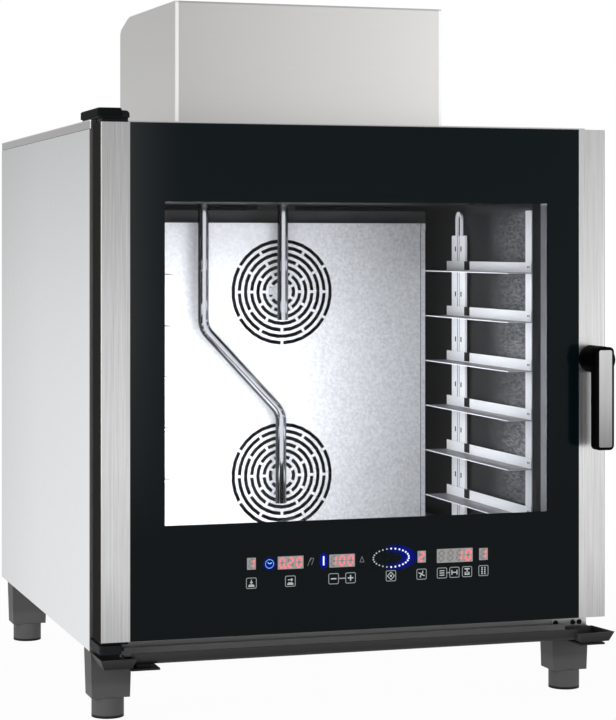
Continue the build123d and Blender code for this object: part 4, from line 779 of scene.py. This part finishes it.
def make_displays():
    """All display windows of the control panel, with their digits and the faint unlit segments."""
    windows, unlit, digits = bmesh.new(), bmesh.new(), bmesh.new()
    for left, right, bottom, top, text, cells, point_after in DISPLAYS:
        window = rounded_outline((left + right) / 2, (bottom + top) / 2, right - left, top - bottom,
                                 DISPLAY_CORNER)
        add_prism(windows, window, SIGN_FRONT, PRINT_BACK)
        cell = (right - left) / cells
        height = (top - bottom) * DIGIT_HIGH
        z = (bottom + top - height) / 2
        for k, digit in enumerate(text.rjust(cells)):
            x = left + k * cell + cell * DIGIT_MARGIN
            shown = DIGITS[digit]
            hidden = [key for key in SEGMENTS if key not in shown]
            add_digit(digits, shown, x, z, cell, height, DIGIT_FRONT)
            add_digit(unlit, hidden, x, z, cell, height, UNLIT_FRONT)
            if point_after == k:
                point = circle_outline(x + cell * DIGIT_WIDE + cell * POINT_ASIDE, z,
                                       cell * DIGIT_STROKE * POINT_OF_STROKE, POINT_STEPS)
                add_prism(digits, point, DIGIT_FRONT, SIGN_FRONT)
    new_print("display_windows", windows, lit("display_grey", (0.33, 0.33, 0.325), 0.75))
    new_print("display_unlit_segments", unlit, lit("display_dim", (0.22, 0.215, 0.21), 0.75))
    new_print("display_digits", digits, lit("display_red", (1.0, 0.16, 0.19), 1.15))


# Touch keys: the place of each and its plain sign, whose bars and dots are placed from the key's middle.
# A bar is given by its two ends and its width, and a dot by its middle and its radius.

KEY_SIZE = 17.5
KEY_CORNER = 2.6
KEY_LINE = 1.1
KEY_JOIN = 1.8
KEY_DOT_STEPS = 16
KEYS = (
    (-184.8, 215.6, "lower"), (-120.0, 216.0, "onward"), (-47.3, 216.6, "minus"), (-18.6, 216.8, "plus"),
    (50.4, 217.0, "diamond"), (103.2, 217.4, "fan"), (138.7, 217.8, "lines"), (160.5, 218.0, "posts"),
    (182.6, 218.2, "stack"), (211.4, 218.6, "dots"),
)
JOINED_KEYS = ((2, 3), (6, 7))
HUB_RADIUS = 1.6
BLADE_TIP = 5.8
BLADE_LEAN = 0.35
BLADE_WIDE = 1.6


def fan_blades():
    """Bars of the fan sign: four blades that lean round its hub."""
    bars = []
    for turn in (45, 135, 225, 315):
        angle = math.radians(turn)
        tip = angle + BLADE_LEAN
        bars.append((HUB_RADIUS * math.cos(angle), HUB_RADIUS * math.sin(angle),
                     BLADE_TIP * math.cos(tip), BLADE_TIP * math.sin(tip), BLADE_WIDE))
    return bars


ARROW_LINE = 1.3
SHELF_BARS = ((-5, -4.6, 5, -4.6, 2.4), (-3.6, -2.4, 3.6, -2.4, 1.0))
MINUS_BARS = ((-4.6, 0, 4.6, 0, 1.9),)
SIGN_BARS = {
    "lower": SHELF_BARS + ((0, 5.4, 0, 0.2, ARROW_LINE), (-2.2, 1.9, 0.3, -0.5, ARROW_LINE),
                           (2.2, 1.9, -0.3, -0.5, ARROW_LINE)),
    "onward": SHELF_BARS + ((-4, 2.2, 3.6, 2.2, ARROW_LINE), (1.4, 4.4, 4.0, 1.9, ARROW_LINE),
                            (1.4, 0.0, 4.0, 2.5, ARROW_LINE)),
    "minus": MINUS_BARS,
    "plus": MINUS_BARS + ((0, -4.6, 0, 4.6, 1.9),),
    "diamond": closed_bars(((0, 6.2), (6.2, 0), (0, -6.2), (-6.2, 0)), 1.1),
    "fan": fan_blades(),
    "lines": [(-4.2, height, 4.2, height, 1.4) for height in (3.6, 0.0, -3.6)],
    "posts": ((-4.4, -4.0, -4.4, 4.0, 1.5), (4.4, -4.0, 4.4, 4.0, 1.5), (-4.4, 0, 4.4, 0, 1.5)),
    "stack": ((-4.4, 4.6, 4.4, 4.6, 2.0), (0, 4.6, 0, -1.6, 1.6), (-4.4, -4.2, 4.4, -4.2, 2.0)),
    "dots": (),
}
SIGN_DOTS = {
    "diamond": ((0, 0, 1.8),),
    "fan": ((0, 0, 1.4),),
    "stack": ((-3.2, -1.6, 1.2), (3.2, -1.6, 1.2)),
    "dots": [(side, 4.8 - 3.2 * k, 1.25) for side in (-2.5, 2.5) for k in range(4)],
}


def make_keys():
    """Outlines and symbols of the touch keys."""
    rings, symbols = bmesh.new(), bmesh.new()
    inner_size = KEY_SIZE - 2 * KEY_LINE
    for x, z, sign in KEYS:
        outer = rounded_outline(x, z, KEY_SIZE, KEY_SIZE, KEY_CORNER)
        inner = rounded_outline(x, z, inner_size, inner_size, KEY_CORNER - KEY_LINE)
        add_ring(rings, outer, inner, SIGN_FRONT, PRINT_BACK)
        add_bars(symbols, SIGN_BARS[sign], x, z)
        for dx, dz, radius in SIGN_DOTS.get(sign, ()):
            dot = circle_outline(x + dx, z + dz, radius, KEY_DOT_STEPS)
            add_prism(symbols, dot, SIGN_FRONT, PRINT_BACK)
    for first, second in JOINED_KEYS:
        x0, z0 = KEYS[first][:2]
        x1, z1 = KEYS[second][:2]
        add_bars(rings, [(x0 + KEY_SIZE / 2, z0, x1 - KEY_SIZE / 2, z1, KEY_JOIN)])
    new_print("touch_key_outlines", rings, lit("key_line", (0.42, 0.47, 0.47), 0.55))
    new_print("touch_key_symbols", symbols, lit("key_symbol", (0.60, 0.64, 0.64), 0.7))


# Blue glow round the lamps. Its reaches are shares of its patch.

GLOW_COLOUR = (0.002, 0.014, 0.52, 1)
GLOW_STRENGTH = 0.9
GLOW_FULL_TO = 0.25
GLOW_LEFT_END = -0.25
GLOW_LEFT_START = 0.4
GLOW_STEPS = 32


def glow_material(name, x, z, wide, high, strength, hollow):
    """Blue light that fades out from a point on the pane, or from the right half of a ring round it."""
    shader = Shader(name)
    centre = at(x, 0, z)
    across = shader.math("DIVIDE", shader.math("SUBTRACT", shader.axis("X"), centre.x), wide * MM)
    upright = shader.math("DIVIDE", shader.math("SUBTRACT", shader.axis("Z"), centre.z), high * MM)
    square = shader.math("ADD", shader.times(across, across), shader.times(upright, upright))
    radius = shader.math("POWER", square, 0.5)
    if hollow:
        band = shader.spread(shader.off(radius, hollow), 0.0, 1.0 - hollow, strength, 0.0)
        fade = shader.times(band, shader.spread(across, GLOW_LEFT_END, GLOW_LEFT_START))
    else:
        fade = shader.spread(radius, GLOW_FULL_TO, 1.0, strength, 0.0)
    light = shader.node("ShaderNodeEmission", Color=GLOW_COLOUR, Strength=GLOW_STRENGTH)
    clear = shader.node("ShaderNodeBsdfTransparent")
    return shader.show(shader.blend(fade, clear.outputs[0], light.outputs[0]))


def make_glow(name, x, z, wide, high, strength, hollow=0.0):
    """Thin patch that carries a blue glow."""
    mesh = bmesh.new()
    add_prism(mesh, ellipse_outline(x, z, wide, high, GLOW_STEPS), GLOW_FRONT, GLOW_BACK)
    new_print(name, mesh, glow_material(name, x, z, wide, high, strength, hollow))


# Lamps and signs of the panel

CLOCK_X = -154.7
CLOCK_Z = 244.9
CLOCK_RADIUS = 6.8
CLOCK_DOTS = 24
CLOCK_DOT = 0.62
CLOCK_DOT_STEPS = 8
CLOCK_HANDS = ((-3.0, 2.4, 0, 0, 1.2), (4.0, 1.8, 0, 0, 1.2))
CLOCK_GLOW = 12.0
LEVEL_X = -64.1
LEVEL_Z = 246.1
LEVEL_WIDE = 2.6
LEVEL_HIGH = 15.0
LEVEL_CORNER = 1.0
LEVEL_GLOW_WIDE = 8.5
LEVEL_GLOW_HIGH = 14.5
SIGN_LINE = 0.9
PROBE = (
    (-91.0, 239.0, -86.0, 251.5, SIGN_LINE), (-86.0, 251.5, -80.5, 250.6, SIGN_LINE),
    (-80.5, 250.6, -84.5, 240.4, SIGN_LINE), (-88.6, 245.0, -84.8, 250.4, SIGN_LINE),
)
DIFFERENCE = ((-2.6, 241.4), (4.4, 241.4), (0.9, 250.4))
RING_X = 50.7
RING_Z = 246.1
RING_WIDE = 30.6
RING_HIGH = 14.9
RING_DOTS = 26
RING_SHARE = 0.66
LAMP_ON = 1.55
LAMP_DIM = 1.3
LAMP_STEPS = 12
DIM_LEFT_OF = -0.15


def add_clock(mesh):
    """Adds the dial of small dots and the two hands of the clock sign."""
    for k in range(CLOCK_DOTS):
        angle = 2 * math.pi * k / CLOCK_DOTS
        dot = circle_outline(CLOCK_X + CLOCK_RADIUS * math.cos(angle),
                             CLOCK_Z + CLOCK_RADIUS * math.sin(angle), CLOCK_DOT, CLOCK_DOT_STEPS)
        add_prism(mesh, dot, DIGIT_FRONT, PRINT_BACK)
    add_bars(mesh, CLOCK_HANDS, CLOCK_X, CLOCK_Z, DIGIT_FRONT)


def add_lamp_ring(bright, dim):
    """Adds the oval ring of small lamps, dim at its left."""
    for k in range(RING_DOTS):
        angle = 2 * math.pi * (k + 0.5) / RING_DOTS
        x = RING_X + RING_WIDE * math.cos(angle)
        z = RING_Z + RING_HIGH * math.sin(angle)
        on = math.cos(angle) > DIM_LEFT_OF
        lamp = circle_outline(x, z, LAMP_ON if on else LAMP_DIM, LAMP_STEPS)
        add_prism(bright if on else dim, lamp, DIGIT_FRONT, PRINT_BACK)


def make_indicators():
    """Clock, level bar, probe, difference triangle and the ring of small lamps."""
    clock, bright, dim, signs = bmesh.new(), bmesh.new(), bmesh.new(), bmesh.new()
    add_clock(clock)
    level = rounded_outline(LEVEL_X, LEVEL_Z, LEVEL_WIDE, LEVEL_HIGH, LEVEL_CORNER)
    add_prism(bright, level, DIGIT_FRONT, PRINT_BACK)
    add_bars(signs, PROBE)
    add_bars(signs, closed_bars(DIFFERENCE, SIGN_LINE))
    add_lamp_ring(bright, dim)
    new_print("clock_sign", clock, lit("clock_lamp", (0.30, 0.78, 1.0), 0.9))
    new_print("lamps_on", bright, lit("lamp_white", (0.86, 0.93, 1.0), 1.0))
    new_print("lamps_dim", dim, lit("lamp_dim", (0.50, 0.55, 0.60), 0.8))
    new_print("printed_signs", signs, lit("sign_grey", (0.30, 0.33, 0.33), 0.4))
    make_glow("clock_glow", CLOCK_X, CLOCK_Z, CLOCK_GLOW, CLOCK_GLOW, strength=0.42)
    make_glow("bar_glow", LEVEL_X, LEVEL_Z, LEVEL_GLOW_WIDE, LEVEL_GLOW_HIGH, strength=0.7)
    make_glow("ring_glow", RING_X, RING_Z, RING_WIDE / RING_SHARE, RING_HIGH / RING_SHARE,
              strength=0.36, hollow=RING_SHARE)


make_displays()
make_keys()
make_indicators()


# Small fasteners. The crown, the dish and the hole are shares of a screw's radius.

SCREW_RADIUS = 4.4
SCREW_HIGH = 2.2
SCREW_RIM = 0.4
SCREW_CROWN = 0.82
SCREW_DISH = 0.5
SCREW_HOLE = 0.42
HOLE_DEEP = 0.7
HOLE_SIDES = 6
SCREW_STEPS = 24
SCREW_PLACES = (6.5, 38.0, 50.0)


def hole_outline(x, z):
    """Points of a screw's six-sided hole, with as many points as the screw is round."""
    corner = 2 * math.pi / HOLE_SIDES
    points = []
    for k in range(SCREW_STEPS):
        angle = 2 * math.pi * k / SCREW_STEPS
        edge = SCREW_RADIUS * SCREW_HOLE * math.cos(corner / 2) / math.cos((angle % corner) - corner / 2)
        points.append((x + edge * math.cos(angle), z + edge * math.sin(angle)))
    return points


def add_screw(mesh, x, z, back):
    """Adds a round screw head with a dished face and a six-sided hole, facing the front."""
    front = back - SCREW_HIGH
    profile = ((1.0, back), (1.0, back - SCREW_RIM), (SCREW_CROWN, front), (SCREW_DISH, front))
    outlines = [(circle_outline(x, z, SCREW_RADIUS * share, SCREW_STEPS), y) for share, y in profile]
    outlines += [(hole_outline(x, z), y) for y in (front, front + HOLE_DEEP)]
    rows = [[mesh.verts.new(at(px, y, pz)) for px, pz in outline] for outline, y in outlines]
    for near, far in zip(rows, rows[1:]):
        join_rows(mesh, near, far)
    mesh.faces.new(rows[-1])
    mesh.faces.new(list(reversed(rows[0])))


def make_plate_screws():
    """Three black screws on the corner plate."""
    mesh = bmesh.new()
    plate_low, plate_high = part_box("corner_plate")
    left, front, low = in_mm(plate_low)
    high = in_mm(plate_high)[2]
    for dx in SCREW_PLACES:
        add_screw(mesh, left + dx, (low + high) / 2, front)
    new_piece("plate_screws", mesh, slot_materials["black_moulding"], "cabinet")


make_plate_screws()


# Lobe at the side of the hinge cap, whose round is a share of its height

LOBE_WIDE = 13.0
LOBE_LAP = 2.0
LOBE_LOW = 950.4
LOBE_HIGH = 961.5
LOBE_FRONT = 7.0
LOBE_BACK = 40.0
LOBE_ROUND = 0.6
LOBE_STEPS = 6


def make_hinge_lobe():
    """Rounded black lobe at the side of the hinge cap, just over the corner of the door."""
    left = in_mm(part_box("top_hinge_cap")[1])[0] - LOBE_LAP
    right = left + LOBE_LAP + LOBE_WIDE
    tall = LOBE_HIGH - LOBE_LOW
    outline = [(left, LOBE_LOW), (right, LOBE_LOW)]
    for k in range(LOBE_STEPS + 1):
        angle = math.radians(90 * k / LOBE_STEPS)
        outline.append((right - tall * LOBE_ROUND * (1 - math.cos(angle)),
                        LOBE_LOW + tall * (1 - LOBE_ROUND + LOBE_ROUND * math.sin(angle))))
    outline.append((left, LOBE_HIGH))
    mesh = bmesh.new()
    add_prism(mesh, outline, LOBE_FRONT, LOBE_BACK)
    new_piece("hinge_cap_lobe", mesh, slot_materials["black_moulding"], "cabinet")


make_hinge_lobe()


# Painted shade on the racks: dark marks for the grooves and slots on the rear posts, and for the pins and
# notches on the rails

RAILS = 6
RAIL_SHEET = 1.5
RAIL_FACE_HIGH = 19.0
REAR_POST_TOP = 769.0
MARK_DEPTH = 0.3
NOTCH_SETBACK = 86.0
NOTCH_WIDE = 25.0
NOTCH_LIFT = 3.0
SLOT_WIDE = 4.5
SLOT_HIGH = 9.0
SLOTS_BEHIND_NOTCH = (17.0, 44.0)
GROOVE_LINE = 1.0
GROOVES_BEHIND_NOTCH = (27.0, 36.0)
PIN_SIZE = 3.0
PINS_FROM_FRONT = (7.0, 13.0)


def add_side_mark(mesh, x, y, wide, low, high):
    """Adds a thin upright plate that stands on a face at x, toward the cabinet's middle."""
    corners = ((y, low), (y + wide, low), (y + wide, high), (y, high))
    inner = x - math.copysign(MARK_DEPTH, x)
    add_slab(mesh, [at(inner, py, pz) for py, pz in corners], [at(x, py, pz) for py, pz in corners])


def make_rack_marks():
    """Painted shade: dark marks where each rail meets its posts, and on the lines and punched slots of the
    rear posts.
    """
    post_face, _, post_foot = in_mm(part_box("right_rack_posts")[0])
    rail_low, rail_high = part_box("right_rack_rails")
    _, rail_front, first = in_mm(rail_low)
    _, rail_back, last = in_mm(rail_high)
    rail_face = post_face - RAIL_SHEET
    notch = rail_back - NOTCH_SETBACK
    pitch = (last - first - RAIL_FACE_HIGH) / (RAILS - 1)
    marks = bmesh.new()
    for side in (-1, 1):
        for dy in GROOVES_BEHIND_NOTCH:
            add_side_mark(marks, side * post_face, notch + dy, GROOVE_LINE, post_foot, REAR_POST_TOP)
    for level in range(RAILS):
        z = first + level * pitch
        pin = z + RAIL_FACE_HIGH / 2
        slot = z + pitch / 2
        for side in (-1, 1):
            for dy in PINS_FROM_FRONT:
                add_side_mark(marks, side * rail_face, rail_front + dy, PIN_SIZE, pin, pin + PIN_SIZE)
            add_side_mark(marks, side * rail_face, notch - NOTCH_WIDE, NOTCH_WIDE, z + NOTCH_LIFT,
                          z + RAIL_FACE_HIGH)
            for dy in SLOTS_BEHIND_NOTCH:
                add_side_mark(marks, side * post_face, notch + dy, SLOT_WIDE, slot - SLOT_HIGH / 2,
                              slot + SLOT_HIGH / 2)
    new_piece("rack_slots_and_notches", marks, slot_materials["black_moulding"], "cabinet")


make_rack_marks()


# Stage, world and lamps. What stands outside the oven is placed in metres.

FLOOR_REACH = 30.0
FLOOR_GREY = 0.9
SHADOW_NEAR = 0.6
SHADOW_FAR = 1.7
SHADOW_SHARE = 0.96
STRAIGHT_RAYS = ("Is Camera Ray", "Is Transmission Ray")
SHOWN_RAYS = STRAIGHT_RAYS + ("Is Glossy Ray",)


def make_floor():
    """Pale floor that stays white to the camera but keeps the shadow."""
    mesh = bpy.data.meshes.new("floor")
    corners = [(x * FLOOR_REACH, y * FLOOR_REACH, 0) for x, y in ((-1, -1), (1, -1), (1, 1), (-1, 1))]
    mesh.from_pydata(corners, [], [(0, 1, 2, 3)])
    shader = Shader("floor")
    shader.set(Base_Color=grey(FLOOR_GREY), Roughness=0.8)
    white = shader.node("ShaderNodeEmission", Color=WHITE, Strength=1.0)
    coords = shader.nodes.new("ShaderNodeTexCoord")
    reach = shader.node("ShaderNodeVectorMath", _0=coords.outputs["Object"])
    reach.operation = "LENGTH"
    fade = shader.spread(reach.outputs["Value"], SHADOW_NEAR, SHADOW_FAR, SHADOW_SHARE, 1.0)
    share = shader.times(shader.rays(*SHOWN_RAYS), fade)
    mesh.materials.append(shader.show(shader.blend(share, shader.surface.outputs[0], white.outputs[0])))
    floor = bpy.data.objects.new("floor", mesh)
    bpy.context.scene.collection.objects.link(floor)


WORLD_LIGHT = 0.45
CEILING_REFLECTION = 0.62
CEILING_FADE = (-0.06, 0.20)


def make_world():
    """White to the camera and through glass, a studio with a dimmer ceiling in metal, softer as light."""
    world = bpy.data.worlds.new("studio")
    bpy.context.scene.world = world
    world.use_nodes = True
    tree = NodeTree(world.node_tree)
    background = tree.nodes["Background"]
    background.inputs["Color"].default_value = WHITE
    studio = tree.spread(tree.axis("Z", "Generated"), *CEILING_FADE, 1.0, CEILING_REFLECTION)
    studio.node.interpolation_type = "SMOOTHSTEP"
    shown = tree.math("MAXIMUM", tree.rays(*STRAIGHT_RAYS), studio)
    tree.links.new(tree.ramp(tree.rays(*SHOWN_RAYS), WORLD_LIGHT, shown), background.inputs["Strength"])


def make_lamp(name, place, target, size, power):
    """Soft square lamp that points at a place."""
    light = bpy.data.lights.new(name, "AREA")
    light.size = size
    light.energy = power
    lamp = bpy.data.objects.new(name, light)
    lamp.location = place
    lamp.rotation_euler = (Vector(target) - Vector(place)).to_track_quat("-Z", "Y").to_euler()
    bpy.context.scene.collection.objects.link(lamp)
    return lamp


def make_oven_lamp(name, place, target, size, power):
    """Lamp inside the oven, which is not seen itself or mirrored."""
    lamp = make_lamp(name, place, target, size, power)
    lamp.visible_camera = False
    lamp.visible_glossy = False
    return lamp


def light_only(lamp, names):
    """Keeps a lamp's light to the named nodes."""
    group = bpy.data.collections.new(lamp.name + "_lights")
    for name in names:
        group.objects.link(nodes[name])
    lamp.light_linking.receiver_collection = group


def make_camera():
    """Level camera with shift at the photograph's viewing angle."""
    data = bpy.data.cameras.new("camera")
    data.sensor_width = CAMERA_SENSOR
    data.lens = CAMERA_LENS
    data.shift_x = SHIFT_RIGHT
    data.shift_y = SHIFT_UP
    camera = bpy.data.objects.new("camera", data)
    camera.location = at(CAMERA_X, CAMERA_Y, CAMERA_Z)
    camera.rotation_euler = (math.radians(90), 0, -math.radians(CAMERA_TURN))
    bpy.context.scene.collection.objects.link(camera)
    bpy.context.scene.camera = camera


make_floor()
make_world()
make_lamp("key", place=(-3.6, -2.2, 1.5), target=(0, 0, 0.5), size=3.0, power=60.0)
make_lamp("fill", place=(3.4, -3.2, 1.6), target=(0, 0, 0.6), size=3.0, power=24.0)
make_oven_lamp("cavity_lamp", place=at(-130, 84, 480), target=at(-130, 490, 470), size=0.42, power=5.2)
rack_lamp = make_oven_lamp("rack_lamp", place=at(60, 200, 680), target=at(340, 200, 620), size=0.26,
                           power=0.8)
light_only(rack_lamp, RACK_NODES + ("cavity_liner",))
make_camera()

scene = bpy.context.scene
scene.view_settings.view_transform = "Standard"
